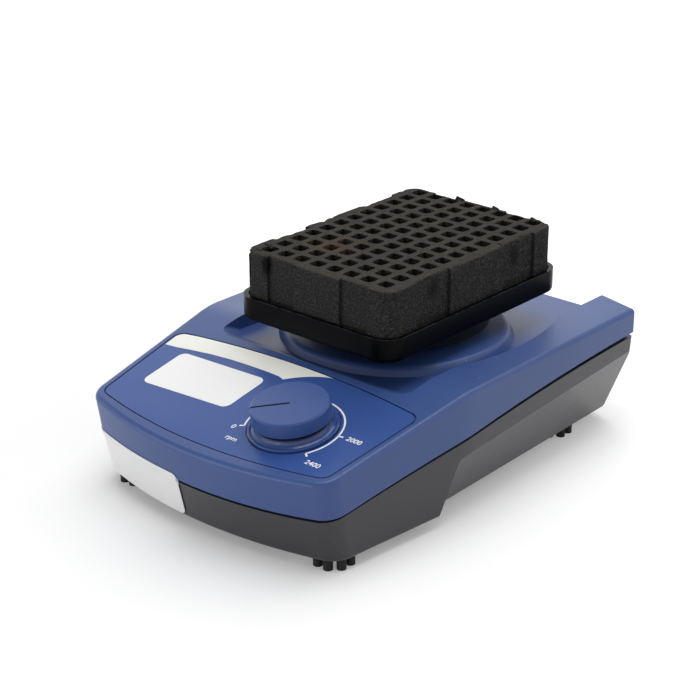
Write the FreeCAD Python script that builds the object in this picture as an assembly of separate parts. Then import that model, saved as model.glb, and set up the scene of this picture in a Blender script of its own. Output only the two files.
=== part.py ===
import FreeCAD, Part
import math
import os

# A bench vortex mixer with an orbiting tray that carries a block of foam for small tubes.
# Frame: X to the right, Y to the rear, Z up, origin on the table under the middle of the body.
# All sizes are in millimetres and all angles in degrees.

V = FreeCAD.Vector

# Body as seen from above
WIDTH = 145.5
LENGTH = 211.0
BEND_Y = -19.0
TAPER_ANGLE = 5.7
TAPER_ROUND = 100.0
FRONT_BOW_R = 200.0
FRONT_CORNER_R = 10.5
REAR_STRAIGHT = 104.2
REAR_SWEEP = 5.6
REAR_CORNER_R = 2.0
REAR_KNEE_R = 18.0

# Upper housing as seen from the side
TOP_Z = 56.0
SLOPE_ANGLE = 10.5
BEND_ROUND = 60.0
FRONT_EDGE_Z = 40.0
FRONT_LEAN = 10.5
TOP_EDGE_R = 2.0
WALL = 2.5
PART_FRONT_Z = 23.0
PART_MID_Z = 38.8
PART_REAR_Z = 45.4

# Channel across the top, with a scallop in each rail
CHANNEL_WIDTH = 104.5
CHANNEL_FRONT_DEPTH = 5.8
CHANNEL_REAR_DEPTH = 8.3
CHANNEL_FRONT_Y = -26.4
CHANNEL_RAMP = 22.0
CHANNEL_DRAFT = 7.0
CHANNEL_CORNER_R = 8.0
SCALLOP_REACH = 59.0
SCALLOP_R = 107.0
SCALLOP_Y = 33.4
SCALLOP_RAMP = 60.0

# Raised round boss on the channel floor
BOSS_TOP_Z = 54.0
BOSS_TOP_D = 97.0
BOSS_FOOT_D = 106.0
BOSS_EDGE_R = 3.0

# Lower housing
FOOT_HEIGHT = 5.0
LOWER_WALL = 3.0
LOWER_FLOOR = 2.5
LOWER_INSET = 0.4
PART_GAP = 1.5
PART_GAP_REAR = 2.2
LOWER_SIDE_DRAFT = 2.2
LOWER_FRONT_LEAN = 13.5
LOWER_REAR_DRAFT = 4.0
BOTTOM_EDGE_R = 1.5
LIP_THICK = 1.6
LIP_RISE = 3.0
LIP_ROOT = 5.0
FLANK_BAND = 6.8
FLANK_SLANT = 22.8
FLANK_FRONT_Y = -32.8
FLANK_FRONT_TILT = 24.5
FLANK_FRONT_R = 16.0

# Feet
FOOT_X_FRONT = 54.5
FOOT_Y_FRONT = -79.5
FOOT_X_REAR = 50.0
FOOT_Y_REAR = 73.0
FOOT_D = 18.0
FOOT_PAD = 1.5
PEG_COUNT = 8
PEG_RING_R = 6.8
PEG_D = 3.9

# Control panel, in its own plane: v runs up the slope from the bend
PANEL_REAR_V = -17.8
PANEL_REAR_R = 400.0
PANEL_FRONT_V = -82.1
PANEL_FRONT_R = 250.0
PANEL_MARGIN = 3.5
PANEL_CORNER_R = 5.0
PANEL_DEPTH = 1.0
PANEL_THICK = 0.9
PANEL_GAP = 0.6

# Knob, bezel and potentiometer, heights above the panel plane
KNOB_X = 27.0
KNOB_V = -53.6
KNOB_D = 31.8
KNOB_TOP = 11.0
KNOB_BOTTOM = 5.0
KNOB_DRAFT = 0.3
KNOB_EDGE_R = 0.6
KNOB_ROOF = 1.8
KNOB_SKIRT = 2.0
KNOB_HUB_D = 11.0
POINTER_ANGLE = 222.0
POINTER_WIDTH = 0.8
POINTER_DEPTH = 0.6
BEZEL_D = 36.8
BEZEL_LIP = 1.0
BEZEL_FLOOR = 1.0
BEZEL_COLLAR = 3.2
BEZEL_COLLAR_D = 30.4
BEZEL_WELL_D = 27.2
POT_D = 17.0
POT_HEIGHT = 8.0
POT_BUSH_D = 9.0
POT_SHAFT_D = 6.0
POT_NUT_FLATS = 12.0
POT_NUT_HEIGHT = 2.0

# Orbit drive
AXIS_Y = 23.2
ORBIT_R = 2.25
CRANK_ANGLE = 60.0
BALLAST_WIDTH = 72.0
BALLAST_LENGTH = 112.0
BALLAST_THICK = 5.0
BRACKET_WIDTH = 82.0
BRACKET_LENGTH = 104.0
BRACKET_THICK = 3.0
BRACKET_CORNER_R = 6.0
POST_D = 8.0
POST_X = 34.0
POST_DY = 45.0
MOTOR_D = 48.0
MOTOR_HEIGHT = 14.0
MOTOR_LIFT = 0.5
MOTOR_EDGE_R = 2.0
MOTOR_SCREW_R = 19.0
MOTOR_SCREW_COUNT = 4
SHAFT_D = 6.0
SHAFT_BEARING_D = 16.0
HUB_DISC_D = 26.0
HUB_DISC_THICK = 4.0
HUB_LIFT = 1.0
WEIGHT_R = 24.0
WEIGHT_ARC = 170.0
PIN_D = 8.0
PIN_SHOULDER = 1.5
PIN_BEARING_D = 22.0
PIN_BEARING_THICK = 7.0
CARRIER_LIFT = 1.5
CARRIER_R = 44.0
CARRIER_THICK = 4.0
IDLER_COUNT = 3
IDLER_RING_R = 36.0
IDLER_SHAFT_D = 5.0
IDLER_DISC_D = 13.0
IDLER_DISC_THICK = 3.0
IDLER_LIFT = 0.3
BUSH_D = 9.0
BUSH_BELOW = 4.0
BUSH_ABOVE = 0.7

# Column, drip collar and table hub
COLUMN_D = 30.0
DRIP_WALL = 2.5
DRIP_RISE = 2.0
HUB_D = 77.0
HUB_THICK = 6.0
SKIRT_THICK = 2.5
SKIRT_DROP = 2.2
HUB_BOLT_D = 5.0
HUB_BOLT_HEAD_D = 9.0
HUB_BOLT_HEAD = 3.5
HUB_BOLT_GRIP = 12.0

# Tray and foam
TRAY_Z = 63.0
TRAY_WIDTH = 85.0
TRAY_LENGTH = 117.6
TRAY_HEIGHT = 10.5
TRAY_WALL = 2.0
TRAY_FLOOR = 3.0
TRAY_CORNER_R = 9.5
TRAY_FOOT_R = 2.0
TRAY_SCREW_D = 3.0
TRAY_SCREW_HEAD_D = 6.0
TRAY_SCREW_DEPTH = 4.0
TRAY_SCREW_R = 24.0
TRAY_SCREW_COUNT = 4
FOAM_HEIGHT = 26.8
FOAM_GAP = 0.6
POCKET = 5.4
POCKET_PITCH = 9.0
POCKET_DEPTH = 18.0
POCKET_COLUMNS = 8
POCKET_ROWS = 12
POCKET_SHIFT_Y = 1.6
RECESS_DEPTH = 1.4
END_RECESS_LEFT = -18.5
END_RECESS_RIGHT = 21.0
END_RECESS_WIDTH = 14.5
SIDE_RECESS_Y = 29.0
SIDE_RECESS_WIDTH = 21.0

# Electronics
BOARD_WIDTH = 92.0
BOARD_LENGTH = 42.0
BOARD_THICK = 1.6
BOARD_Y = -62.0
BOARD_Z = 17.0
BOARD_EDGE = 5.0
STANDOFF_D = 6.0
BOARD_SCREW_D = 3.0
BOARD_SCREW_HEAD_D = 5.5
BOARD_SCREW_HEAD = 2.0
CAPACITOR_D = 8.0
CAPACITOR_HEIGHT = 11.0
CAPACITOR_COUNT = 3
CAPACITOR_PITCH = 10.0
DRIVER_SIZE = 14.0
DRIVER_HEIGHT = 4.0
INLET_X = -20.0
INLET_Z = 24.0
INLET_WIDTH = 13.0
INLET_HEIGHT = 12.0
INLET_LENGTH = 14.0
INLET_FLANGE = 1.5
INLET_PROUD = 0.8
INLET_BORE_D = 6.4
INLET_BORE_DEPTH = 9.0
INLET_PIN_D = 2.0

# Housing screws
SCREW_X = 44.0
SCREW_Y_FRONT = -88.0
SCREW_Y_REAR = 90.0
SCREW_D = 3.0
SCREW_HEAD_D = 5.6
SCREW_HEAD = 1.6
SCREW_BITE = 6.0
BOSS_D = 9.0

# Clearances
FIT = 0.05
RUNNING_FIT = 0.04
SLIP = 0.3
ORBIT_CLEAR = 0.8

# Levels and places worked out from the sizes above
HALF = WIDTH / 2
FRONT_ROUND = math.cos(math.radians(FRONT_LEAN)) + math.sin(math.radians(FRONT_LEAN)) - 1
FRONT_Y = -LENGTH / 2 - TOP_EDGE_R * FRONT_ROUND
REAR_Y = LENGTH / 2
CHANNEL_Z = TOP_Z - CHANNEL_REAR_DEPTH
CHANNEL_FRONT_Z = TOP_Z - CHANNEL_FRONT_DEPTH
FLOOR_Z = FOOT_HEIGHT + LOWER_FLOOR
BALLAST_TOP = FLOOR_Z + BALLAST_THICK
MOTOR_Z = BALLAST_TOP + MOTOR_LIFT
BRACKET_Z = MOTOR_Z + MOTOR_HEIGHT
BRACKET_TOP = BRACKET_Z + BRACKET_THICK
HUB_DISC_Z = BRACKET_TOP + HUB_LIFT
HUB_DISC_TOP = HUB_DISC_Z + HUB_DISC_THICK
CARRIER_Z = HUB_DISC_TOP + CARRIER_LIFT
CARRIER_TOP = CARRIER_Z + CARRIER_THICK
HUB_Z = TRAY_Z - HUB_THICK
TABLE_X = ORBIT_R * math.cos(math.radians(CRANK_ANGLE))
TABLE_Y = AXIS_Y + ORBIT_R * math.sin(math.radians(CRANK_ANGLE))
FOAM_Z = TRAY_Z + TRAY_FLOOR
FAR = 400.0


def tan(angle):
    return math.tan(math.radians(angle))


def polar(radius, angle, x=0.0, y=0.0, z=0.0):
    turn = math.radians(angle)
    return V(x + radius * math.cos(turn), y + radius * math.sin(turn), z)


def line(a, b):
    return Part.LineSegment(a, b).toShape()


def arc(a, b, c):
    return Part.Arc(a, b, c).toShape()


def solid_between(wires):
    return Part.makeLoft(wires, True, True)


def prism(edges, direction):
    return Part.Face(Part.Wire(edges)).extrude(direction)


def block(x0, x1, y0, y1, z0, z1):
    return Part.makeBox(x1 - x0, y1 - y0, z1 - z0, V(x0, y0, z0))


def rod(diameter, x, y, z0, z1):
    return Part.makeCylinder(diameter / 2, z1 - z0, V(x, y, z0))


def ring(outer, inner, x, y, z0, z1):
    return rod(outer, x, y, z0, z1).cut(rod(inner, x, y, z0 - 1, z1 + 1))


def revolve(points, x=0.0, y=0.0):
    corners = [V(x + r, y, z) for r, z in points]
    face = Part.Face(Part.makePolygon(corners + corners[:1]))
    return face.revolve(V(x, y, 0), V(0, 0, 1), 360)


def mirror_x(shape):
    return shape.mirror(V(0, 0, 0), V(1, 0, 0))


def both_sides(shape):
    return [shape, mirror_x(shape)]


def round_corner(before, corner, after, radius):
    """Tangent points and middle of an arc that rounds a corner between two straight runs."""
    back = (before - corner).normalize()
    ahead = (after - corner).normalize()
    half_angle = back.getAngle(ahead) / 2
    reach = radius / math.tan(half_angle)
    inward = (back + ahead).normalize()
    middle = corner + inward * (radius / math.sin(half_angle) - radius)
    return corner + back * reach, middle, corner + ahead * reach


def rounded_edges(points, radii):
    """Lines and arcs of a closed outline with one radius for each corner."""
    count = len(points)
    rounds = []
    for i in range(count):
        if radii[i] > 0:
            rounds.append(round_corner(points[i - 1], points[i], points[(i + 1) % count], radii[i]))
        else:
            rounds.append((points[i], None, points[i]))
    edges = []
    for i in range(count):
        start, middle, end = rounds[i]
        if middle is not None:
            edges.append(arc(start, middle, end))
        following = rounds[(i + 1) % count][0]
        edges.append(line(end, following))
    return edges


def rounded_rectangle(width, length, radius, x, y, z):
    a, b = width / 2, length / 2
    corners = [V(x - a, y - b, z), V(x + a, y - b, z), V(x + a, y + b, z), V(x - a, y + b, z)]
    return rounded_edges(corners, [radius] * 4)


def plate(width, length, radius, x, y, z0, z1):
    return prism(rounded_rectangle(width, length, radius, x, y, z0), V(0, 0, z1 - z0))


def hexagon(flats, x, y, z0, z1):
    corners = [polar(flats / math.sqrt(3), 60 * i, x, y, z0) for i in range(7)]
    return Part.Face(Part.makePolygon(corners)).extrude(V(0, 0, z1 - z0))


# Body outlines

def body_outline(z, half, front_y, rear_y, inset):
    """Outline from above: bowed front, rounded corners, tapered then straight sides, swept rear."""
    taper = tan(TAPER_ANGLE)
    half = half - inset
    front_y = front_y + inset
    rear_y = rear_y - inset
    bow_r = FRONT_BOW_R - inset
    corner_r = FRONT_CORNER_R - inset
    bow_centre = V(0, front_y + bow_r, z)
    bend = V(half, BEND_Y, z)
    ahead = V(-taper, -1, 0).normalize()
    inward = V(-1, taper, 0).normalize()
    offset = bend + inward * corner_r - bow_centre
    along = offset.dot(ahead)
    spare = offset.dot(offset) - (bow_r - corner_r) ** 2
    centre = bend + inward * corner_r + ahead * (math.sqrt(along * along - spare) - along)
    outward = (centre - bow_centre).normalize()
    on_side = centre - inward * corner_r
    on_bow = bow_centre + outward * bow_r
    on_corner = centre + (outward - inward).normalize() * corner_r
    knee = V(REAR_STRAIGHT / 2, rear_y, z)
    outer = V(half, rear_y - REAR_SWEEP, z)
    rear_r = max(REAR_CORNER_R - inset, REAR_CORNER_R / 4)
    right = [
        round_corner(V(0, rear_y, z), knee, outer, REAR_KNEE_R),
        round_corner(knee, outer, bend, rear_r),
        round_corner(outer, bend, on_side, TAPER_ROUND),
    ]
    edges = [arc(V(-on_bow.x, on_bow.y, z), V(0, front_y, z), on_bow)]
    edges += half_outline(right, on_bow, on_corner, on_side)
    edges.append(line(right[0][0], V(-right[0][0].x, rear_y, z)))
    left = [mirror_x(edge) for edge in half_outline(right, on_bow, on_corner, on_side)]
    return Part.Wire(Part.__sortEdges__(edges + left))


def half_outline(rounds, on_bow, on_corner, on_side):
    """Edges of the right side of the outline, from the bowed front to the rear."""
    edges = [arc(on_bow, on_corner, on_side)]
    last = on_side
    for start, middle, end in reversed(rounds):
        edges.append(line(last, end))
        edges.append(arc(end, middle, start))
        last = start
    return edges


def upper_hull(inset):
    low, high = 0.0, TOP_Z + 10

    def front(z):
        return FRONT_Y - (z - FRONT_EDGE_Z) * tan(FRONT_LEAN)

    return solid_between([body_outline(z, HALF, front(z), REAR_Y, inset) for z in (low, high)])


def lower_hull(inset):
    high = TOP_Z + 10
    front_at_part = FRONT_Y + (FRONT_EDGE_Z - PART_FRONT_Z) * tan(FRONT_LEAN)

    def outline(z):
        half = HALF - (PART_REAR_Z - z) * tan(LOWER_SIDE_DRAFT)
        front = front_at_part + (PART_FRONT_Z - z) * tan(LOWER_FRONT_LEAN)
        rear = REAR_Y - (PART_REAR_Z - z) * tan(LOWER_REAR_DRAFT)
        return body_outline(z, half, front, rear, inset + LOWER_INSET)

    return solid_between([outline(FOOT_HEIGHT), outline(high)])


def under_top(drop):
    """Everything below the top surface, which bends down towards the front."""
    z = TOP_Z - drop
    rear = V(-FAR, FAR, z)
    bend = V(-FAR, BEND_Y, z)
    front = V(-FAR, -FAR, z - (FAR + BEND_Y) * tan(SLOPE_ANGLE))
    start, middle, end = round_corner(rear, bend, front, BEND_ROUND)
    low_front = V(-FAR, -FAR, -FAR)
    low_rear = V(-FAR, FAR, -FAR)
    edges = [line(rear, start), arc(start, middle, end), line(end, front), line(front, low_front)]
    edges += [line(low_front, low_rear), line(low_rear, rear)]
    return prism(edges, V(2 * FAR, 0, 0))


def part_height(y):
    """Height of the parting line, a parabola through its front, middle and rear heights."""
    s = y / REAR_Y
    rise = (PART_REAR_Z - PART_FRONT_Z) / 2
    sag = (PART_REAR_Z + PART_FRONT_Z) / 2 - PART_MID_Z
    return PART_MID_Z + rise * s + sag * s * s


def over_parting(lift, rear_lift):
    """Everything above the parting line, moved up by one amount in front and another at the rear."""
    reach = LENGTH * 0.6
    lifts = (lift, (lift + rear_lift) / 2, rear_lift)
    points = [V(-FAR, y, part_height(y) + up) for y, up in zip((-reach, 0.0, reach), lifts)]
    high_rear = V(-FAR, reach, FAR)
    high_front = V(-FAR, -reach, FAR)
    edges = [arc(*points), line(points[2], high_rear), line(high_rear, high_front)]
    edges.append(line(high_front, points[0]))
    return prism(edges, V(2 * FAR, 0, 0))


def over_channel_floor(grow):
    """Everything above the channel floor, which falls a little towards the rear."""
    fall = (CHANNEL_FRONT_Z - CHANNEL_Z) / (REAR_Y - CHANNEL_FRONT_Y)
    reach = LENGTH
    front = V(-FAR, -reach, CHANNEL_Z - grow + (REAR_Y + reach) * fall)
    rear = V(-FAR, reach, CHANNEL_Z - grow + (REAR_Y - reach) * fall)
    high_rear = V(-FAR, reach, FAR)
    high_front = V(-FAR, -reach, FAR)
    edges = [line(front, rear), line(rear, high_rear), line(high_rear, high_front), line(high_front, front)]
    return prism(edges, V(2 * FAR, 0, 0))


def channel(grow):
    """The channel with its front ramp and side scallops, grown outward and downward."""
    low = CHANNEL_Z - grow - 6
    high = TOP_Z + 6

    def outline(z):
        half = CHANNEL_WIDTH / 2 + grow - (TOP_Z - z) * tan(CHANNEL_DRAFT)
        front = CHANNEL_FRONT_Y - (z + grow - CHANNEL_FRONT_Z) / tan(CHANNEL_RAMP)
        rear = REAR_Y + WIDTH / 8
        corners = [V(-half, front, z), V(half, front, z), V(half, rear, z), V(-half, rear, z)]
        radius = CHANNEL_CORNER_R + grow
        return Part.Wire(rounded_edges(corners, [radius, radius, 0, 0]))

    trough = solid_between([outline(low), outline(high)])
    top_r = SCALLOP_R + grow + (high - TOP_Z) / tan(SCALLOP_RAMP)
    low_r = SCALLOP_R + grow + (low - TOP_Z) / tan(SCALLOP_RAMP)
    cone = Part.makeCone(low_r, top_r, high - low, V(SCALLOP_REACH - SCALLOP_R, SCALLOP_Y, low))
    side = cone.common(block(CHANNEL_WIDTH * 0.4, FAR, -FAR, FAR, low, high))
    trough = trough.common(over_channel_floor(grow))
    side = side.common(over_channel_floor(grow))
    return trough.fuse(both_sides(side)).removeSplitter()


def round_boss(inset):
    """Raised round boss around the drive, with a rounded upper edge."""
    low = CHANNEL_Z - WALL
    high = BOSS_TOP_Z - inset
    foot_r = BOSS_FOOT_D / 2 - inset
    top_r = BOSS_TOP_D / 2 - inset
    cone = Part.makeCone(foot_r, top_r, high - low, V(0, AXIS_Y, low))
    return cone.makeFillet(BOSS_EDGE_R, [e for e in cone.Edges if abs(e.BoundBox.ZMin - high) < 0.01])


# Panel plane

PANEL_PLANE = FreeCAD.Placement(V(0, BEND_Y, TOP_Z), FreeCAD.Rotation(V(1, 0, 0), SLOPE_ANGLE))


def on_panel(shape):
    placed = shape.copy()
    placed.Placement = PANEL_PLANE
    return placed


def panel_outline(inset, h):
    """Panel edge: a bowed front and rear between sides that taper with the body."""
    taper = tan(TAPER_ANGLE)
    front = PANEL_FRONT_V + inset
    rear = PANEL_REAR_V - inset

    def half(v):
        return HALF - PANEL_MARGIN - inset + v * taper

    def bowed(apex, radius):
        x = half(apex)
        for _ in range(4):
            sag = abs(radius) - math.sqrt(radius * radius - x * x)
            v = apex + math.copysign(sag, radius)
            x = half(v)
        return V(x, v, h)

    front_end = bowed(front, PANEL_FRONT_R)
    rear_end = bowed(rear, -PANEL_REAR_R)
    edges = [
        arc(V(-front_end.x, front_end.y, h), V(0, front, h), front_end),
        line(front_end, rear_end),
        arc(rear_end, V(0, rear, h), V(-rear_end.x, rear_end.y, h)),
        line(V(-rear_end.x, rear_end.y, h), V(-front_end.x, front_end.y, h)),
    ]
    return edges


def panel_slab(inset, h0, h1):
    slab = prism(panel_outline(inset, h0), V(0, 0, h1 - h0))
    upright = [e for e in slab.Edges if abs(e.Vertexes[0].Z - e.Vertexes[-1].Z) > (h1 - h0) / 2]
    return slab.makeFillet(PANEL_CORNER_R, upright)


def at_knob(points):
    return revolve(points, KNOB_X, KNOB_V)


# Housing

def screw_places():
    return [(s * SCREW_X, y) for y in (SCREW_Y_FRONT, SCREW_Y_REAR) for s in (-1, 1)]


def screw_joint_z(y):
    """Height where the upper and lower screw bosses meet."""
    return part_height(y) - SCREW_BITE - LOWER_WALL


def make_upper_housing():
    outer = upper_hull(0).common(under_top(0)).common(over_parting(0, 0))
    rim = []
    for edge in outer.Edges:
        middle = edge.valueAt((edge.FirstParameter + edge.LastParameter) / 2)
        on_top = abs(under_top_height(middle.y) - middle.z) < 0.01
        across = abs(edge.Vertexes[0].Y - edge.Vertexes[-1].Y) < 0.01 and middle.y < REAR_Y - REAR_SWEEP
        if on_top and (not across or edge.Curve.TypeId == "Part::GeomCircle"):
            rim.append(edge)
    outer = outer.makeFillet(TOP_EDGE_R, rim)
    cavity = upper_hull(WALL).common(under_top(WALL)).cut(channel(WALL)).fuse(round_boss(WALL))
    shell = outer.cut(channel(0)).fuse(round_boss(0)).cut(cavity)
    hole_r = COLUMN_D / 2 + ORBIT_R + ORBIT_CLEAR
    collar_r = hole_r + DRIP_WALL
    collar = ring(2 * collar_r, 2 * hole_r, 0, AXIS_Y, BOSS_TOP_Z - WALL / 2, BOSS_TOP_Z + DRIP_RISE)
    shell = shell.cut(rod(2 * hole_r, 0, AXIS_Y, CHANNEL_Z - 2 * WALL, TOP_Z)).fuse(collar)
    bosses = []
    for x, y in screw_places():
        boss = rod(BOSS_D, x, y, screw_joint_z(y), TOP_Z)
        bosses.append(boss.common(cavity))
    shell = shell.fuse(bosses)
    for x, y in screw_places():
        shell = shell.cut(rod(SCREW_D + 2 * FIT, x, y, 0, screw_joint_z(y) + SCREW_BITE))
    pocket = panel_slab(0, -PANEL_DEPTH, PANEL_DEPTH * 3)
    bush_hole = rod(POT_BUSH_D + 2 * FIT, KNOB_X, KNOB_V, -3 * WALL, WALL)
    return shell.cut(on_panel(pocket)).cut(on_panel(bush_hole)).removeSplitter()


def under_top_height(y):
    """Height of the top surface, leaving out the rounding at the bend."""
    return TOP_Z + min(y - BEND_Y, 0) * tan(SLOPE_ANGLE)


def flank(inset):
    """Cut that slants one flank inward below its band, behind a curved front leg."""
    reach = LENGTH * 0.6
    out_x = WIDTH * 0.65

    def section(y):
        top = part_height(0) - FLANK_BAND + (part_height(REAR_Y) - part_height(0)) / REAR_Y * y
        low = -10.0
        high_x = HALF - inset / math.cos(math.radians(FLANK_SLANT))
        low_x = high_x - (top - low) * tan(FLANK_SLANT)
        corners = [V(high_x, y, top), V(low_x, y, low), V(out_x, y, low), V(out_x, y, top)]
        return Part.makePolygon(corners + corners[:1])

    wedge = solid_between([section(-reach), section(reach)])
    foot = V(0, FLANK_FRONT_Y - inset, FOOT_HEIGHT)
    foot_low = foot + V(0, -tan(FLANK_FRONT_TILT), -1) * 20
    head = foot + V(0, tan(FLANK_FRONT_TILT), 1) * (part_height(0) - FLANK_BAND - FOOT_HEIGHT)
    rear_top = V(0, reach, head.z + 12)
    rear_low = V(0, reach, foot_low.z)
    outline = rounded_edges([foot_low, head, rear_top, rear_low], [0, FLANK_FRONT_R + inset, 0, 0])
    return wedge.common(prism(outline, V(FAR, 0, 0)))


def make_lower_housing():
    hull = lower_hull(0)
    bottom = [e for e in hull.Edges if abs(e.BoundBox.ZMax - FOOT_HEIGHT) < 0.01]
    outer = hull.makeFillet(BOTTOM_EDGE_R, bottom).cut(over_parting(-PART_GAP, -PART_GAP_REAR))
    cavity = lower_hull(LOWER_WALL).cut(block(-FAR, FAR, -FAR, FAR, 0, FLOOR_Z))
    lip_inset = WALL + SLIP
    lip = upper_hull(lip_inset).cut(upper_hull(lip_inset + LIP_THICK))
    lip = lip.cut(over_parting(LIP_RISE, LIP_RISE)).common(over_parting(-LIP_ROOT, -LIP_ROOT))
    lip = lip.cut(channel(WALL + SLIP))
    for side in both_sides(flank(0)):
        outer = outer.cut(side)
    for side in both_sides(flank(LOWER_WALL)):
        cavity = cavity.cut(side)
    shell = outer.cut(cavity).fuse(lip)
    bosses = []
    for x, y in screw_places():
        bosses.append(rod(BOSS_D, x, y, FLOOR_Z - LOWER_FLOOR / 2, screw_joint_z(y)))
    shell = shell.fuse(bosses)
    for x, y in screw_places():
        shell = shell.cut(rod(SCREW_D + 2 * SLIP, x, y, 0, screw_joint_z(y) + 1))
        shell = shell.cut(rod(SCREW_HEAD_D + 2 * SLIP, x, y, 0, FOOT_HEIGHT + SCREW_HEAD))
    for x, y in foot_places():
        shell = shell.cut(rod(FOOT_D + 2 * FIT, x, y, 0, FOOT_HEIGHT + FOOT_PAD))
    shell = shell.cut(inlet_body(FIT))
    return shell.removeSplitter()


def make_housing_screws():
    screws = []
    for x, y in screw_places():
        head = rod(SCREW_HEAD_D, x, y, FOOT_HEIGHT, FOOT_HEIGHT + SCREW_HEAD)
        shank = rod(SCREW_D, x, y, FOOT_HEIGHT, screw_joint_z(y) + SCREW_BITE - SLIP)
        screws.append(head.fuse(shank).removeSplitter())
    return Part.makeCompound(screws)


# Feet

def foot_places():
    front = [(s * FOOT_X_FRONT, FOOT_Y_FRONT) for s in (-1, 1)]
    rear = [(s * FOOT_X_REAR, FOOT_Y_REAR) for s in (-1, 1)]
    return front + rear


def make_foot(x, y):
    pad = rod(FOOT_D, x, y, FOOT_HEIGHT, FOOT_HEIGHT + FOOT_PAD)
    pegs = []
    for i in range(PEG_COUNT):
        place = polar(PEG_RING_R, 360 * (i + 0.5) / PEG_COUNT, x, y)
        pegs.append(rod(PEG_D, place.x, place.y, 0, FOOT_HEIGHT + FOOT_PAD / 2))
    return pad.fuse(pegs).removeSplitter()


# Panel pieces

def make_front_panel():
    slab = panel_slab(PANEL_GAP, -PANEL_DEPTH, PANEL_THICK - PANEL_DEPTH)
    r = BEZEL_D / 2 + PANEL_GAP
    hole = at_knob([(0, -2 * PANEL_DEPTH), (r, -2 * PANEL_DEPTH), (r, PANEL_DEPTH), (0, PANEL_DEPTH)])
    return on_panel(slab.cut(hole))


def make_knob_bezel():
    r = BEZEL_D / 2
    collar = BEZEL_COLLAR_D / 2
    well = BEZEL_WELL_D / 2
    bore = POT_BUSH_D / 2 + FIT
    ramp = r - collar
    profile = [
        (bore, -PANEL_DEPTH), (r, -PANEL_DEPTH), (r, BEZEL_LIP * 0.6), (r - BEZEL_LIP * 0.4, BEZEL_LIP),
        (r - ramp * 0.32, BEZEL_LIP), (r - ramp * 0.48, BEZEL_LIP * 0.7),
        (r - ramp * 0.68, BEZEL_LIP * 1.1), (r - ramp * 0.86, BEZEL_COLLAR * 0.5),
        (collar, BEZEL_COLLAR - BEZEL_LIP * 0.5), (collar - BEZEL_LIP * 0.4, BEZEL_COLLAR),
        (well, BEZEL_COLLAR), (well, BEZEL_FLOOR), (bore, BEZEL_FLOOR),
    ]
    return on_panel(at_knob(profile))


def make_speed_knob():
    r = KNOB_D / 2
    low_r = r + KNOB_DRAFT
    roof = KNOB_TOP - KNOB_ROOF
    inner = low_r - KNOB_SKIRT
    hub_r = KNOB_HUB_D / 2
    hub_low = BEZEL_FLOOR + POT_NUT_HEIGHT + 2 * SLIP
    bore = POT_SHAFT_D / 2 + FIT
    profile = [
        (bore, hub_low), (hub_r, hub_low), (hub_r, roof), (inner, roof), (inner, KNOB_BOTTOM),
        (low_r, KNOB_BOTTOM), (r, KNOB_TOP - KNOB_EDGE_R), (r - KNOB_EDGE_R, KNOB_TOP), (0, KNOB_TOP),
        (0, roof), (bore, roof),
    ]
    body = at_knob(profile)
    half = POINTER_WIDTH / 2
    groove = block(0, KNOB_D, -half, half, KNOB_TOP - POINTER_DEPTH, KNOB_TOP + 1)
    notch = block(r - POINTER_DEPTH, KNOB_D, -half, half, KNOB_BOTTOM - 1, KNOB_TOP + 1)
    pointer = groove.fuse(notch)
    pointer.rotate(V(0, 0, 0), V(0, 0, 1), POINTER_ANGLE)
    pointer.translate(V(KNOB_X, KNOB_V, 0))
    return on_panel(body.cut(pointer))


def make_pot_body():
    top = -WALL - FIT
    bush_top = BEZEL_FLOOR + POT_NUT_HEIGHT
    bore = POT_SHAFT_D / 2 + RUNNING_FIT
    low = top - POT_HEIGHT
    profile = [
        (bore, low + 2), (bore, bush_top), (POT_BUSH_D / 2, bush_top), (POT_BUSH_D / 2, top),
        (POT_D / 2, top), (POT_D / 2, low), (0, low), (0, low + 2),
    ]
    return on_panel(at_knob(profile))


def make_pot_shaft():
    low = -WALL - POT_HEIGHT + 2 + SLIP
    high = KNOB_TOP - KNOB_ROOF - SLIP
    return on_panel(rod(POT_SHAFT_D, KNOB_X, KNOB_V, low, high))


def make_pot_nut():
    low = BEZEL_FLOOR
    nut = hexagon(POT_NUT_FLATS, KNOB_X, KNOB_V, low, low + POT_NUT_HEIGHT)
    return on_panel(nut.cut(rod(POT_BUSH_D + 2 * FIT, KNOB_X, KNOB_V, low - 1, low + POT_NUT_HEIGHT + 1)))


# Orbit drive

def idler_places():
    return [polar(IDLER_RING_R, 90 + 360 * i / IDLER_COUNT, 0, AXIS_Y) for i in range(IDLER_COUNT)]


def make_ballast_plate():
    return plate(BALLAST_WIDTH, BALLAST_LENGTH, BRACKET_CORNER_R, 0, AXIS_Y, FLOOR_Z, BALLAST_TOP)


def motor_screw_places():
    step = 360 / MOTOR_SCREW_COUNT
    return [polar(MOTOR_SCREW_R, step * (i + 0.5), 0, AXIS_Y) for i in range(MOTOR_SCREW_COUNT)]


def make_motor_bracket():
    top = plate(BRACKET_WIDTH, BRACKET_LENGTH, BRACKET_CORNER_R, 0, AXIS_Y, BRACKET_Z, BRACKET_TOP)
    posts = []
    for sx in (-1, 1):
        for sy in (-1, 1):
            posts.append(rod(POST_D, sx * POST_X, AXIS_Y + sy * POST_DY, BALLAST_TOP, BRACKET_TOP))
    bracket = top.fuse(posts)
    bracket = bracket.cut(rod(SHAFT_BEARING_D + 2 * FIT, 0, AXIS_Y, 0, TOP_Z))
    for p in idler_places():
        bracket = bracket.cut(rod(BUSH_D + 2 * FIT, p.x, p.y, 0, TOP_Z))
    for p in motor_screw_places():
        bracket = bracket.cut(rod(SCREW_D + 2 * FIT, p.x, p.y, 0, TOP_Z))
    return bracket.removeSplitter()


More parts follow.
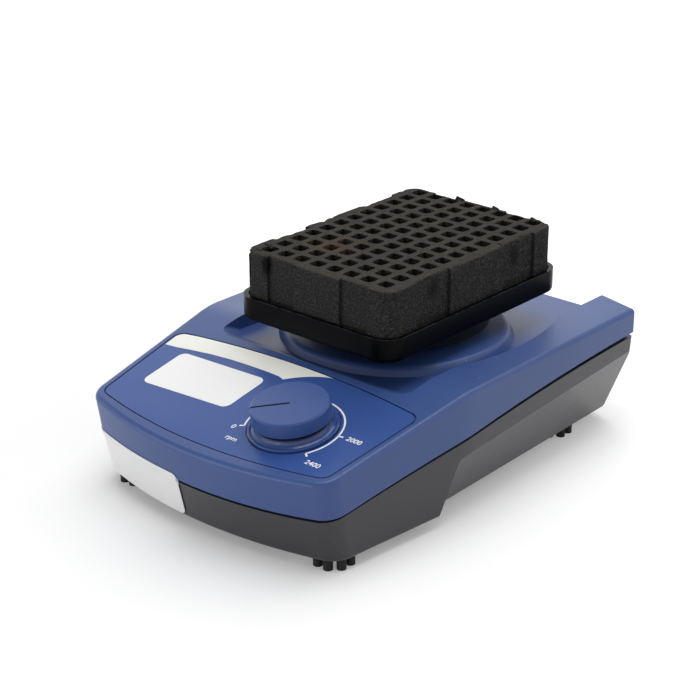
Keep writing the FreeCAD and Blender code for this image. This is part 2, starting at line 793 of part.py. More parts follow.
def make_motor_can():
    can = rod(MOTOR_D, 0, AXIS_Y, MOTOR_Z, BRACKET_Z)
    can = can.makeFillet(MOTOR_EDGE_R, [e for e in can.Edges if abs(e.BoundBox.ZMax - MOTOR_Z) < 0.01])
    can = can.cut(rod(SHAFT_D + 2 * SLIP, 0, AXIS_Y, MOTOR_Z + BRACKET_THICK, TOP_Z))
    for p in motor_screw_places():
        can = can.cut(rod(SCREW_D + 2 * FIT, p.x, p.y, BRACKET_Z - SCREW_BITE, TOP_Z))
    return can


def make_motor_screws():
    screws = []
    for p in motor_screw_places():
        head = rod(SCREW_HEAD_D, p.x, p.y, BRACKET_TOP, BRACKET_TOP + HUB_LIFT - SLIP)
        shank = rod(SCREW_D, p.x, p.y, BRACKET_Z - SCREW_BITE + SLIP, BRACKET_TOP)
        screws.append(head.fuse(shank).removeSplitter())
    return Part.makeCompound(screws)


def make_shaft_bearing():
    return ring(SHAFT_BEARING_D, SHAFT_D + 2 * RUNNING_FIT, 0, AXIS_Y, BRACKET_Z, BRACKET_TOP)


def make_eccentric_shaft():
    shaft = rod(SHAFT_D, 0, AXIS_Y, MOTOR_Z + BRACKET_THICK + SLIP, HUB_DISC_TOP)
    disc = rod(HUB_DISC_D, 0, AXIS_Y, HUB_DISC_Z, HUB_DISC_TOP)
    pin = rod(PIN_D, TABLE_X, TABLE_Y, HUB_DISC_Z, CARRIER_Z + PIN_BEARING_THICK)
    shoulder = rod(PIN_D + 2 * PIN_SHOULDER, TABLE_X, TABLE_Y, HUB_DISC_Z, CARRIER_Z - SLIP)
    return shaft.fuse([disc, shoulder, pin]).removeSplitter()


def make_counterweight():
    half_arc = WEIGHT_ARC / 2
    inner = HUB_DISC_D / 2
    away = CRANK_ANGLE + 180

    def at(radius, turn):
        return polar(radius, away + turn, 0, AXIS_Y, HUB_DISC_Z)

    edges = [
        arc(at(WEIGHT_R, -half_arc), at(WEIGHT_R, 0), at(WEIGHT_R, half_arc)),
        line(at(WEIGHT_R, half_arc), at(inner, half_arc)),
        arc(at(inner, half_arc), at(inner, 0), at(inner, -half_arc)),
        line(at(inner, -half_arc), at(WEIGHT_R, -half_arc)),
    ]
    return prism(edges, V(0, 0, HUB_DISC_THICK))


def make_orbit_bearing():
    top = CARRIER_Z + PIN_BEARING_THICK
    return ring(PIN_BEARING_D, PIN_D + 2 * RUNNING_FIT, TABLE_X, TABLE_Y, CARRIER_Z, top)


def make_orbit_carrier():
    disc = rod(2 * CARRIER_R, TABLE_X, TABLE_Y, CARRIER_Z, CARRIER_TOP)
    column = rod(COLUMN_D, TABLE_X, TABLE_Y, CARRIER_Z, HUB_Z)
    carrier = disc.fuse(column)
    seat_top = CARRIER_Z + PIN_BEARING_THICK
    carrier = carrier.cut(rod(PIN_BEARING_D + 2 * FIT, TABLE_X, TABLE_Y, 0, seat_top + SLIP))
    carrier = carrier.cut(rod(HUB_BOLT_D + 2 * FIT, TABLE_X, TABLE_Y, HUB_Z - HUB_BOLT_GRIP, TOP_Z + HUB_D))
    step = V(TABLE_X, TABLE_Y - AXIS_Y, 0)
    for p in idler_places():
        p = p + step
        carrier = carrier.cut(rod(IDLER_SHAFT_D + 2 * RUNNING_FIT, p.x, p.y, 0, TOP_Z))
    return carrier.removeSplitter()


def make_idler_bushes():
    bushes = []
    for p in idler_places():
        low, high = BRACKET_Z - BUSH_BELOW, BRACKET_TOP + BUSH_ABOVE
        bushes.append(ring(BUSH_D, IDLER_SHAFT_D + 2 * RUNNING_FIT, p.x, p.y, low, high))
    return Part.makeCompound(bushes)


def make_idler_crank(p):
    low = BRACKET_Z - BUSH_BELOW
    disc_z = BRACKET_TOP + BUSH_ABOVE + IDLER_LIFT
    q = p + V(TABLE_X, TABLE_Y - AXIS_Y, 0)
    shaft = rod(IDLER_SHAFT_D, p.x, p.y, low, disc_z + IDLER_DISC_THICK)
    disc = rod(IDLER_DISC_D, p.x, p.y, disc_z, disc_z + IDLER_DISC_THICK)
    pin = rod(IDLER_SHAFT_D, q.x, q.y, disc_z, CARRIER_TOP)
    return shaft.fuse([disc, pin]).removeSplitter()


# Table

def tray_screw_places():
    step = 360 / TRAY_SCREW_COUNT
    return [polar(TRAY_SCREW_R, step * (i + 0.5), TABLE_X, TABLE_Y) for i in range(TRAY_SCREW_COUNT)]


def skirt_radius():
    """Inner radius that clears the drip collar all round the orbit."""
    return COLUMN_D / 2 + ORBIT_R + ORBIT_CLEAR + DRIP_WALL + ORBIT_R + ORBIT_CLEAR


def make_table_hub():
    hub = rod(HUB_D, TABLE_X, TABLE_Y, HUB_Z, TRAY_Z)
    hub = hub.cut(rod(HUB_BOLT_D + 2 * FIT, TABLE_X, TABLE_Y, 0, TRAY_Z + 1))
    head_z = TRAY_Z - HUB_BOLT_HEAD - SLIP
    hub = hub.cut(rod(HUB_BOLT_HEAD_D + 2 * SLIP, TABLE_X, TABLE_Y, head_z, TRAY_Z + 1))
    for p in tray_screw_places():
        hub = hub.cut(rod(TRAY_SCREW_D + 2 * FIT, p.x, p.y, TRAY_Z - TRAY_SCREW_DEPTH - SLIP, TRAY_Z + 1))
    return hub


def make_hub_bolt():
    head_z = TRAY_Z - HUB_BOLT_HEAD - SLIP
    head = rod(HUB_BOLT_HEAD_D, TABLE_X, TABLE_Y, head_z, head_z + HUB_BOLT_HEAD)
    shank = rod(HUB_BOLT_D, TABLE_X, TABLE_Y, HUB_Z - HUB_BOLT_GRIP + SLIP, head_z)
    socket = hexagon(HUB_BOLT_D * 0.8, TABLE_X, TABLE_Y, head_z + HUB_BOLT_HEAD / 2, TRAY_Z)
    return head.fuse(shank).cut(socket)


def make_drip_skirt():
    inner = skirt_radius()
    return ring(2 * (inner + SKIRT_THICK), 2 * inner, TABLE_X, TABLE_Y, HUB_Z - SKIRT_DROP, HUB_Z)


def make_plate_tray():
    top = TRAY_Z + TRAY_HEIGHT
    tray = plate(TRAY_WIDTH, TRAY_LENGTH, TRAY_CORNER_R, TABLE_X, TABLE_Y, TRAY_Z, top)
    tray = tray.makeFillet(TRAY_FOOT_R, [e for e in tray.Edges if abs(e.BoundBox.ZMax - TRAY_Z) < 0.01])
    width, length = TRAY_WIDTH - 2 * TRAY_WALL, TRAY_LENGTH - 2 * TRAY_WALL
    radius = TRAY_CORNER_R - TRAY_WALL
    tray = tray.cut(plate(width, length, radius, TABLE_X, TABLE_Y, FOAM_Z, top + 1))
    for p in tray_screw_places():
        tray = tray.cut(rod(TRAY_SCREW_D + 2 * FIT, p.x, p.y, 0, FOAM_Z + 1))
        tray = tray.cut(tray_screw_head(p, FIT))
    return tray


def tray_screw_head(p, grow):
    """Countersunk head that ends flush with the tray's floor."""
    sink = (TRAY_SCREW_HEAD_D - TRAY_SCREW_D) / 2
    low, high = TRAY_SCREW_D / 2 + grow, TRAY_SCREW_HEAD_D / 2 + grow
    return Part.makeCone(low, high, sink, V(p.x, p.y, FOAM_Z - sink))


def make_tray_screws():
    screws = []
    for p in tray_screw_places():
        sink = (TRAY_SCREW_HEAD_D - TRAY_SCREW_D) / 2
        shank = rod(TRAY_SCREW_D, p.x, p.y, TRAY_Z - TRAY_SCREW_DEPTH, FOAM_Z - sink / 2)
        screws.append(shank.fuse(tray_screw_head(p, 0)).removeSplitter())
    return Part.makeCompound(screws)


def make_foam_block():
    width = TRAY_WIDTH - 2 * TRAY_WALL - 2 * FOAM_GAP
    length = TRAY_LENGTH - 2 * TRAY_WALL - 2 * FOAM_GAP
    radius = TRAY_CORNER_R - TRAY_WALL - FOAM_GAP
    top = FOAM_Z + FOAM_HEIGHT
    foam = plate(width, length, radius, TABLE_X, TABLE_Y, FOAM_Z, top)
    recesses = []
    for s in (-1, 1):
        for x in (END_RECESS_LEFT, END_RECESS_RIGHT):
            end_y = TABLE_Y + s * length / 2
            recesses.append(recess(TABLE_X + x, end_y, END_RECESS_WIDTH, 2 * RECESS_DEPTH, top))
        for y in (-SIDE_RECESS_Y, SIDE_RECESS_Y):
            side_x = TABLE_X + s * width / 2
            side_y = TABLE_Y + POCKET_SHIFT_Y + y
            recesses.append(recess(side_x, side_y, 2 * RECESS_DEPTH, SIDE_RECESS_WIDTH, top))
    pockets = []
    for i in range(POCKET_COLUMNS):
        for j in range(POCKET_ROWS):
            x = TABLE_X + (i - (POCKET_COLUMNS - 1) / 2) * POCKET_PITCH
            y = TABLE_Y + POCKET_SHIFT_Y + (j - (POCKET_ROWS - 1) / 2) * POCKET_PITCH
            side = POCKET / 2
            pockets.append(block(x - side, x + side, y - side, y + side, top - POCKET_DEPTH, top + 1))
    return foam.cut(Part.makeCompound(recesses)).cut(Part.makeCompound(pockets))


def recess(x, y, width, length, top):
    return block(x - width / 2, x + width / 2, y - length / 2, y + length / 2, FOAM_Z - 1, top + 1)


# Electronics

def board_corners():
    x = BOARD_WIDTH / 2 - BOARD_EDGE
    y = BOARD_LENGTH / 2 - BOARD_EDGE
    return [(sx * x, BOARD_Y + sy * y) for sx in (-1, 1) for sy in (-1, 1)]


def make_control_board():
    half_width, half_length = BOARD_WIDTH / 2, BOARD_LENGTH / 2
    front, rear = BOARD_Y - half_length, BOARD_Y + half_length
    board = block(-half_width, half_width, front, rear, BOARD_Z, BOARD_Z + BOARD_THICK)
    for x, y in board_corners():
        board = board.cut(rod(BOARD_SCREW_D + 2 * FIT, x, y, 0, TOP_Z))
    return board


def make_board_standoffs():
    posts = []
    for x, y in board_corners():
        posts.append(ring(STANDOFF_D, BOARD_SCREW_D + 2 * FIT, x, y, FLOOR_Z, BOARD_Z))
    return Part.makeCompound(posts)


def make_board_screws():
    screws = []
    for x, y in board_corners():
        top = BOARD_Z + BOARD_THICK
        head = rod(BOARD_SCREW_HEAD_D, x, y, top, top + BOARD_SCREW_HEAD)
        screws.append(head.fuse(rod(BOARD_SCREW_D, x, y, FLOOR_Z + SLIP, top)).removeSplitter())
    return Part.makeCompound(screws)


def make_capacitors():
    cans = []
    low = BOARD_Z + BOARD_THICK
    for i in range(CAPACITOR_COUNT):
        x = -BOARD_WIDTH / 4 + (i - (CAPACITOR_COUNT - 1) / 2) * CAPACITOR_PITCH
        cans.append(rod(CAPACITOR_D, x, BOARD_Y, low, low + CAPACITOR_HEIGHT))
    return Part.makeCompound(cans)


def make_motor_driver():
    low = BOARD_Z + BOARD_THICK
    side = DRIVER_SIZE / 2
    return block(side, 3 * side, BOARD_Y - side, BOARD_Y + side, low, low + DRIVER_HEIGHT)


def inlet_face_y():
    """Rear face of the lower housing at the height of the power inlet."""
    return REAR_Y - LOWER_INSET - (PART_REAR_Z - INLET_Z) * tan(LOWER_REAR_DRAFT)


def inlet_body(grow):
    half_width = INLET_WIDTH / 2 + grow
    half_height = INLET_HEIGHT / 2 + grow
    rear = inlet_face_y() + INLET_PROUD
    x0, x1 = INLET_X - half_width, INLET_X + half_width
    return block(x0, x1, rear - INLET_LENGTH, rear, INLET_Z - half_height, INLET_Z + half_height)


def make_power_inlet():
    rear = inlet_face_y() + INLET_PROUD
    mouth = V(INLET_X, rear + 1, INLET_Z)
    bore = Part.makeCylinder(INLET_BORE_D / 2, INLET_BORE_DEPTH + 1, mouth, V(0, -1, 0))
    flange_y = inlet_face_y() - LOWER_WALL - INLET_FLANGE - FIT
    grip = INLET_FLANGE + INLET_WIDTH / 2
    flange = block(INLET_X - grip, INLET_X + grip, flange_y - INLET_FLANGE, flange_y,
                   INLET_Z - INLET_HEIGHT / 2, INLET_Z + INLET_HEIGHT / 2)
    return inlet_body(0).fuse(flange).cut(bore).removeSplitter()


def make_inlet_pin():
    rear = inlet_face_y() + INLET_PROUD
    length = INLET_BORE_DEPTH - INLET_PROUD
    root = V(INLET_X, rear - INLET_BORE_DEPTH, INLET_Z)
    return Part.makeCylinder(INLET_PIN_D / 2, length, root, V(0, 1, 0))


# Export

def make_pieces():
    pieces = {
        "upper_housing": make_upper_housing(),
        "lower_housing": make_lower_housing(),
        "housing_screws": make_housing_screws(),
        "front_panel": make_front_panel(),
        "knob_bezel": make_knob_bezel(),
        "speed_knob": make_speed_knob(),
        "pot_body": make_pot_body(),
        "pot_shaft": make_pot_shaft(),
        "pot_nut": make_pot_nut(),
        "ballast_plate": make_ballast_plate(),
        "motor_bracket": make_motor_bracket(),
        "motor_can": make_motor_can(),
        "motor_screws": make_motor_screws(),
        "shaft_bearing": make_shaft_bearing(),
        "eccentric_shaft": make_eccentric_shaft(),
        "counterweight": make_counterweight(),
        "orbit_bearing": make_orbit_bearing(),
        "orbit_carrier": make_orbit_carrier(),
        "idler_bushes": make_idler_bushes(),
        "table_hub": make_table_hub(),
        "hub_bolt": make_hub_bolt(),
        "drip_skirt": make_drip_skirt(),
        "plate_tray": make_plate_tray(),
        "tray_screws": make_tray_screws(),
        "foam_block": make_foam_block(),
        "control_board": make_control_board(),
        "board_standoffs": make_board_standoffs(),
        "board_screws": make_board_screws(),
        "capacitors": make_capacitors(),
        "motor_driver": make_motor_driver(),
        "power_inlet": make_power_inlet(),
        "inlet_pin": make_inlet_pin(),
    }
    names = ("foot_front_left", "foot_front_right", "foot_rear_left", "foot_rear_right")
    for name, (x, y) in zip(names, foot_places()):
        pieces[name] = make_foot(x, y)
    for i, place in enumerate(idler_places()):
        pieces["idler_crank_%d" % (i + 1)] = make_idler_crank(place)
    return pieces


os.makedirs("parts", exist_ok=True)
for node, shape in make_pieces().items():
    shape.exportStep("parts/%s.step" % node)
    box = shape.BoundBox
    print("%-18s solids %d valid %s volume %.0f z %.1f to %.1f" % (
        node, len(shape.Solids), shape.isValid(), shape.Volume, box.ZMin, box.ZMax))
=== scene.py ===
"""Looks of a bench vortex mixer: finishes, foam block, panel print and stage."""

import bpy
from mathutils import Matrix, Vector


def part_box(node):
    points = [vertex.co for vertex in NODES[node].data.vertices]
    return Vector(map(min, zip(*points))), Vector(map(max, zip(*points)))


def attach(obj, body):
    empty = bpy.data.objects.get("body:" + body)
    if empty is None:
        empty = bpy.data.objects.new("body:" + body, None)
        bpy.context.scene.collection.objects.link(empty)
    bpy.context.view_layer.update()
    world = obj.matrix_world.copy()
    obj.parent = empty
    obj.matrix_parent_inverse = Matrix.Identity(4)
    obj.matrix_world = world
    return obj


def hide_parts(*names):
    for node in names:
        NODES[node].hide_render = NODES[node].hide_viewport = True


bl_info = {
    "name": "Vortex mixer looks",
    "version": (1, 0, 0),
    "blender": (4, 5, 0),
    "location": "3D View > Sidebar > Mixer",
    "description": "Finishes, foam block, panel print and stage of a bench vortex mixer",
    "category": "Object",
}

import math

import bmesh
import bpy
from mathutils import Matrix, Vector, noise
from mathutils.bvhtree import BVHTree

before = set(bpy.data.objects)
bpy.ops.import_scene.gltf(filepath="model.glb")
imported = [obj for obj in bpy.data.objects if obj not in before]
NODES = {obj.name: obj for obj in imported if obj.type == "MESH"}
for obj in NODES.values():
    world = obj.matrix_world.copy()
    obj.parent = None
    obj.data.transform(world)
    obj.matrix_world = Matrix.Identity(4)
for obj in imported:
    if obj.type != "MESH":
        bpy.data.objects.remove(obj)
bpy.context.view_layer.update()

MM = 0.001

# Sloped panel, in mm: the bend where its slope starts, the film's lift off that plane, and the panel's outline
BEND_Y = -19.0
BEND_Z = 56.0
SLOPE = math.radians(10.5)
FILM_LIFT = -0.1
FILM_SINK = 0.01
PRINT_RISE = 0.01
PANEL_HALF = 68.05
REAR_V = -18.55
REAR_BOW = 400.0

# Knob: its place on the panel and the radii round it in mm, and directions round it in degrees
KNOB_X = 27.0
KNOB_V = -53.6
COLLAR_R = 15.2
STRIPE_ARC_R = 36.2
POINTER_TURN = 222.0
SCALE_START = 207.7
SCALE_MARK = 11.0
SCALE_END = -35.0

# Print on the panel: plan corners of the bare label and its corner radius in mm, and each word with its place and size
LABEL_CORNERS = ((-52.4, -78.5), (-6.3, -75.5), (-6.3, -51.7), (-52.7, -53.6))
LABEL_ROUND = 3.2
DIAL_WORDS = (("0", 5.8, -83.6, 0.95), ("2000", 54.4, -67.4, 0.95), ("2400", 50.7, -87.1, 0.95),
              ("rpm", 10.9, -90.0, 0.92))

# Finishes: dust, painted shade for dark places of a moulded finish, and the foam's flecks and the painted shade of its
# torn spots
DUST = (0.55, 0.54, 0.52)
PAINTED_SHADE_GAIN = 0.18
PAINTED_SHADE_ROUGH = 0.75
TONE_ROUGH = 0.04
FLECK = (0.26, 0.25, 0.23)
TORN_SHADE = (0.006, 0.006, 0.006)

# Foam wear, in mm: stains as x, y and reach on the top, tears darkened with painted shade as place, spread and amount
STAIN_Z = 92.0
FOAM_STAINS = ((-14.6, -4.6, 8.0), (-4.3, -3.7, 6.5), (-14.5, 3.8, 7.0), (-22.0, -6.0, 5.0))
FOAM_TEARS = (((-25.2, -31.0, 88.8), (3.0, 6.0, 7.0), 0.95), ((41.0, -1.5, 86.5), (6.0, 5.4, 6.0), 0.70),
              ((41.0, 53.5, 85.0), (6.0, 4.6, 7.0), 0.60))

# Stage, in metres: lamps as name, place, width, height and watts, where they face, and the middle of the floor's
# painted shade
LAMPS = (
    ("top_softbox", (0.10, -0.05, 1.28), 0.8, 0.8, 6.0),
    ("rear_softbox", (0.0, 0.62, 1.12), 0.8, 0.8, 3.8),
    ("rear_sheen", (-0.85, 0.75, 0.48), 0.8, 0.8, 1.8),
    ("right_fill", (0.85, 0.45, 0.50), 0.6, 0.6, 0.9),
    ("front_strip", (-0.50, -1.10, 0.13), 1.2, 0.2, 3.6),
)
LAMP_AIM = (0.0, 0.0, 0.04)
FLOOR_SHADE = (-0.07, -0.05, 0.0)


def colour_prop(name, description, default):
    """A colour that the user may change."""
    return bpy.props.FloatVectorProperty(name=name, description=description, default=default, size=3,
                                         min=0.0, max=1.0, subtype="COLOR")


def length_prop(name, description, default_mm):
    """A length that the user may change, given in mm."""
    return bpy.props.FloatProperty(name=name, description=description, default=default_mm * MM, min=0.0,
                                   precision=5, subtype="DISTANCE", unit="LENGTH")


class MixerColours(bpy.types.PropertyGroup):
    """Colours of the mixer's finishes."""

    housing: colour_prop("Housing", "Moulded upper housing", (0.035, 0.080, 0.255))
    panel: colour_prop("Panel", "Printed panel film", (0.034, 0.086, 0.305))
    knob: colour_prop("Knob", "Speed knob and its bezel", (0.031, 0.076, 0.260))
    base: colour_prop("Base", "Lower housing", (0.033, 0.033, 0.040))
    rubber: colour_prop("Rubber", "Feet and drip skirt", (0.014, 0.014, 0.015))
    tray: colour_prop("Tray", "Plate tray", (0.0016, 0.0017, 0.0021))
    foam: colour_prop("Foam", "Sides of the foam block", (0.040, 0.039, 0.038))
    foam_top: colour_prop("Foam top", "Worn and dusty top of the foam block", (0.072, 0.066, 0.058))
    stain: colour_prop("Stain", "Brown stain round some pockets", (0.090, 0.055, 0.033))
    film: colour_prop("Film", "Bare white stickers", (0.90, 0.90, 0.90))
    stripe: colour_prop("Stripe", "Ivory stripe along the panel's rear edge", (0.90, 0.90, 0.84))
    print_white: colour_prop("Print", "Scale printed round the knob", (0.90, 0.91, 0.94))


class MixerSizes(bpy.types.PropertyGroup):
    """Sizes of the pieces that lie on the mixer."""

    film_thick: length_prop("Film thickness", "Thickness of stickers and stripe", 0.12)
    print_thick: length_prop("Print thickness", "Thickness of the printed scale", 0.04)
    scale_radius: length_prop("Scale radius", "Radius of the scale round the knob", 20.2)
    scale_line: length_prop("Scale line", "Width of the scale's line", 0.75)
    digit_size: length_prop("Digit size", "Type size of the scale's numbers", 3.8)
    foam_rough: length_prop("Foam roughness", "Height of the foam's uneven skin", 0.20)
    edge_round: length_prop("Edge round", "Rounding of hard moulded edges", 0.45)


def colours():
    return bpy.context.scene.mixer_colours


def sizes():
    return bpy.context.scene.mixer_sizes


# Node groups and finishes

def link(tree, source, target):
    tree.links.new(source, target)


def node(tree, kind, **values):
    """A shader node whose settings and input defaults are given by name."""
    made = tree.nodes.new(kind)
    for key, value in values.items():
        key = key.replace("_", " ") if key[0].isupper() else key
        if key in made.inputs:
            made.inputs[key].default_value = value
        else:
            setattr(made, key, value)
    return made


def math_node(tree, operation, first, second=None):
    """A Math node; each operand is a socket or a number."""
    made = node(tree, "ShaderNodeMath", operation=operation)
    for index, value in enumerate((first, second)):
        if value is None:
            continue
        if isinstance(value, (int, float)):
            made.inputs[index].default_value = value
        else:
            link(tree, value, made.inputs[index])
    return made.outputs[0]


def map_range(tree, value, low, high, to_low=0.0, to_high=1.0):
    made = node(tree, "ShaderNodeMapRange")
    made.inputs["From Min"].default_value = low
    made.inputs["From Max"].default_value = high
    made.inputs["To Min"].default_value = to_low
    made.inputs["To Max"].default_value = to_high
    link(tree, value, made.inputs["Value"])
    return made.outputs["Result"]


def mix_colour(tree, factor, first, second):
    """Mixes two colours; each is a socket or three numbers."""
    made = node(tree, "ShaderNodeMix", data_type="RGBA")
    link(tree, factor, made.inputs["Factor"])
    for name, value in (("A", first), ("B", second)):
        socket = [s for s in made.inputs if s.name == name and s.type == "RGBA"][0]
        if isinstance(value, bpy.types.NodeSocket):
            link(tree, value, socket)
        else:
            socket.default_value = (*value[:3], 1.0)
    return [s for s in made.outputs if s.type == "RGBA"][0]


def new_group(name, inputs, outputs):
    """An empty shader node group with float sockets, and its input and output nodes."""
    group = bpy.data.node_groups.new(name, "ShaderNodeTree")
    for label, default in inputs:
        socket = group.interface.new_socket(name=label, in_out="INPUT", socket_type="NodeSocketFloat")
        socket.default_value = default
    for label in outputs:
        group.interface.new_socket(name=label, in_out="OUTPUT", socket_type="NodeSocketFloat")
    return group, group.nodes.new("NodeGroupInput"), group.nodes.new("NodeGroupOutput")


def grain_group():
    """Moulded grain: a fine height and a broad change of tone."""
    if "moulded_grain" in bpy.data.node_groups:
        return bpy.data.node_groups["moulded_grain"]
    group, given, out = new_group("moulded_grain", [("Scale", 1800.0), ("Broad", 18.0)], ["Height", "Tone"])
    place = node(group, "ShaderNodeTexCoord").outputs["Object"]
    fine = node(group, "ShaderNodeTexNoise", Detail=2.0, Roughness=0.6)
    broad = node(group, "ShaderNodeTexNoise", Detail=1.0, Roughness=0.5)
    for made, label in ((fine, "Scale"), (broad, "Broad")):
        link(group, place, made.inputs["Vector"])
        link(group, given.outputs[label], made.inputs["Scale"])
    link(group, fine.outputs[0], out.inputs["Height"])
    link(group, map_range(group, broad.outputs[0], 0.15, 0.85), out.inputs["Tone"])
    return group


def edge_group():
    """Edge wear, and on the tray a painted rim highlight: a broken mask along hard edges."""
    if "edge_wear_and_glint" in bpy.data.node_groups:
        return bpy.data.node_groups["edge_wear_and_glint"]
    group, given, out = new_group("edge_wear_and_glint", [("Radius", 0.0007), ("Amount", 0.4)], ["Mask"])
    bevel = node(group, "ShaderNodeBevel", samples=4)
    link(group, given.outputs["Radius"], bevel.inputs["Radius"])
    true_normal = node(group, "ShaderNodeNewGeometry").outputs["Normal"]
    dot = node(group, "ShaderNodeVectorMath", operation="DOT_PRODUCT")
    link(group, bevel.outputs[0], dot.inputs[0])
    link(group, true_normal, dot.inputs[1])
    bend = map_range(group, dot.outputs["Value"], 0.995, 0.86)
    place = node(group, "ShaderNodeTexCoord").outputs["Object"]
    broken = node(group, "ShaderNodeTexNoise", Scale=240.0, Detail=3.0)
    link(group, place, broken.inputs["Vector"])
    patchy = math_node(group, "MULTIPLY", bend, map_range(group, broken.outputs[0], 0.35, 0.65))
    link(group, math_node(group, "MULTIPLY", patchy, given.outputs["Amount"]), out.inputs["Mask"])
    return group


def dust_group():
    """Dust: pale specks and a thin haze on faces that look up."""
    if "settled_dust" in bpy.data.node_groups:
        return bpy.data.node_groups["settled_dust"]
    group, given, out = new_group("settled_dust", [("Specks", 0.5), ("Haze", 0.05)], ["Mask"])
    place = node(group, "ShaderNodeTexCoord").outputs["Object"]
    cells = node(group, "ShaderNodeTexVoronoi", Scale=210.0)
    link(group, place, cells.inputs["Vector"])
    dot = map_range(group, cells.outputs["Distance"], 0.085, 0.05)
    chance = node(group, "ShaderNodeSeparateColor")
    link(group, cells.outputs["Color"], chance.inputs[0])
    rare = math_node(group, "GREATER_THAN", chance.outputs[0], 0.93)
    specks = math_node(group, "MULTIPLY", math_node(group, "MULTIPLY", dot, rare), given.outputs["Specks"])
    cloud = node(group, "ShaderNodeTexNoise", Scale=55.0, Detail=4.0)
    link(group, place, cloud.inputs["Vector"])
    haze = math_node(group, "MULTIPLY", map_range(group, cloud.outputs[0], 0.35, 0.75), given.outputs["Haze"])
    up = node(group, "ShaderNodeSeparateXYZ")
    link(group, node(group, "ShaderNodeNewGeometry").outputs["Normal"], up.inputs[0])
    facing = map_range(group, up.outputs["Z"], 0.1, 0.8)
    total = math_node(group, "MULTIPLY", math_node(group, "ADD", specks, haze), facing)
    link(group, total, out.inputs["Mask"])
    return group


def use_group(tree, group, **values):
    made = tree.nodes.new("ShaderNodeGroup")
    made.node_tree = group
    for key, value in values.items():
        made.inputs[key].default_value = value
    return made


def new_material(name):
    """A new material, its tree and its Principled shader."""
    material = bpy.data.materials.new(name)
    material.use_nodes = True
    tree = material.node_tree
    shader = tree.nodes["Principled BSDF"]
    return material, tree, shader


def shade(colour, gain):
    return tuple(min(1.0, c * gain) for c in colour[:3])


def bump_from(tree, shader, height, distance):
    """Gives a finish its relief, with a depth in metres."""
    bump = node(tree, "ShaderNodeBump", Strength=1.0, Distance=distance)
    link(tree, height, bump.inputs["Height"])
    link(tree, bump.outputs[0], shader.inputs["Normal"])


def moulded(name, colour, rough, grain=1800.0, depth=0.00002, tone=0.10, wear=0.25, specks=0.4, haze=0.02,
            gloss=0.5, wear_and_glint_gain=1.7, dark=None):
    """Moulded plastic, rubber or film: grain, broad tone, pale worn edges (on the tray a painted rim highlight), dust
    and, where given, painted shade in dark places.
    """
    material, tree, shader = new_material(name)
    shader.inputs["Specular IOR Level"].default_value = gloss
    texture = use_group(tree, grain_group(), Scale=grain, Broad=16.0)
    edge = use_group(tree, edge_group(), Radius=0.0006, Amount=wear)
    dust = use_group(tree, dust_group(), Specks=specks, Haze=haze)
    body = mix_colour(tree, texture.outputs["Tone"], shade(colour, 1.0 - tone), shade(colour, 1.0 + tone))
    # Pale edges: real wear, and with the tray's large gain a painted rim highlight
    worn = mix_colour(tree, edge.outputs["Mask"], body, tuple(min(1.0, c * wear_and_glint_gain + 0.015) for c in colour[:3]))
    shown = mix_colour(tree, dust.outputs["Mask"], worn, DUST)
    handled = map_range(tree, texture.outputs["Tone"], 0.0, 1.0, rough + TONE_ROUGH, rough - TONE_ROUGH)
    # Painted shade: where the mask is set, the colour is darkened and made rough
    if dark is not None:
        mask = dark(tree)
        shown = mix_colour(tree, mask, shown, shade(colour, PAINTED_SHADE_GAIN))
        handled = math_node(tree, "MAXIMUM", handled, math_node(tree, "MULTIPLY", mask, PAINTED_SHADE_ROUGH))
    link(tree, shown, shader.inputs["Base Color"])
    link(tree, handled, shader.inputs["Roughness"])
    bump_from(tree, shader, texture.outputs["Height"], depth)
    return material


def panel_gap_shade(tree):
    """Mask of painted shade on the panel film's edge faces, darkening the gap round the panel: what doesn't face along
    the panel's slope.
    """
    facing = node(tree, "ShaderNodeVectorMath", operation="DOT_PRODUCT")
    link(tree, node(tree, "ShaderNodeNewGeometry").outputs["Normal"], facing.inputs[0])
    facing.inputs[1].default_value = (0.0, -math.sin(SLOPE), math.cos(SLOPE))
    return map_range(tree, facing.outputs["Value"], 0.75, 0.55)


def knob_plane(tree, turn):
    """Sockets of a place on the panel from the knob's axis, in mm, with X along a direction in degrees."""
    place = node(tree, "ShaderNodeTexCoord").outputs["Object"]
    local = node(tree, "ShaderNodeMapping", vector_type="TEXTURE", Scale=(MM, MM, MM))
    local.inputs["Location"].default_value = panel_point(*knob_point(0.0, 0.0), 0.0)
    local.inputs["Rotation"].default_value = (Matrix.Rotation(SLOPE, 3, "X")
                                              @ Matrix.Rotation(math.radians(turn), 3, "Z")).to_euler()
    link(tree, place, local.inputs["Vector"])
    parts = node(tree, "ShaderNodeSeparateXYZ")
    link(tree, local.outputs[0], parts.inputs[0])
    return parts.outputs


def pointer_groove_shade(tree):
    """Mask of painted shade in the groove that points at the scale, from the knob's middle to its edge."""
    away = knob_plane(tree, POINTER_TURN)
    across = map_range(tree, math_node(tree, "ABSOLUTE", away["Y"]), 0.62, 0.50)
    return math_node(tree, "MULTIPLY", across, map_range(tree, away["X"], 0.0, 0.3))


def bezel_recess_shade(tree):
    """Mask of painted shade in the bezel's recess under the knob."""
    away = knob_plane(tree, 0.0)
    squares = [math_node(tree, "MULTIPLY", away[name], away[name]) for name in ("X", "Y")]
    radius = math_node(tree, "SQRT", math_node(tree, "ADD", *squares))
    return map_range(tree, radius, COLLAR_R + 0.2, COLLAR_R - 0.3)


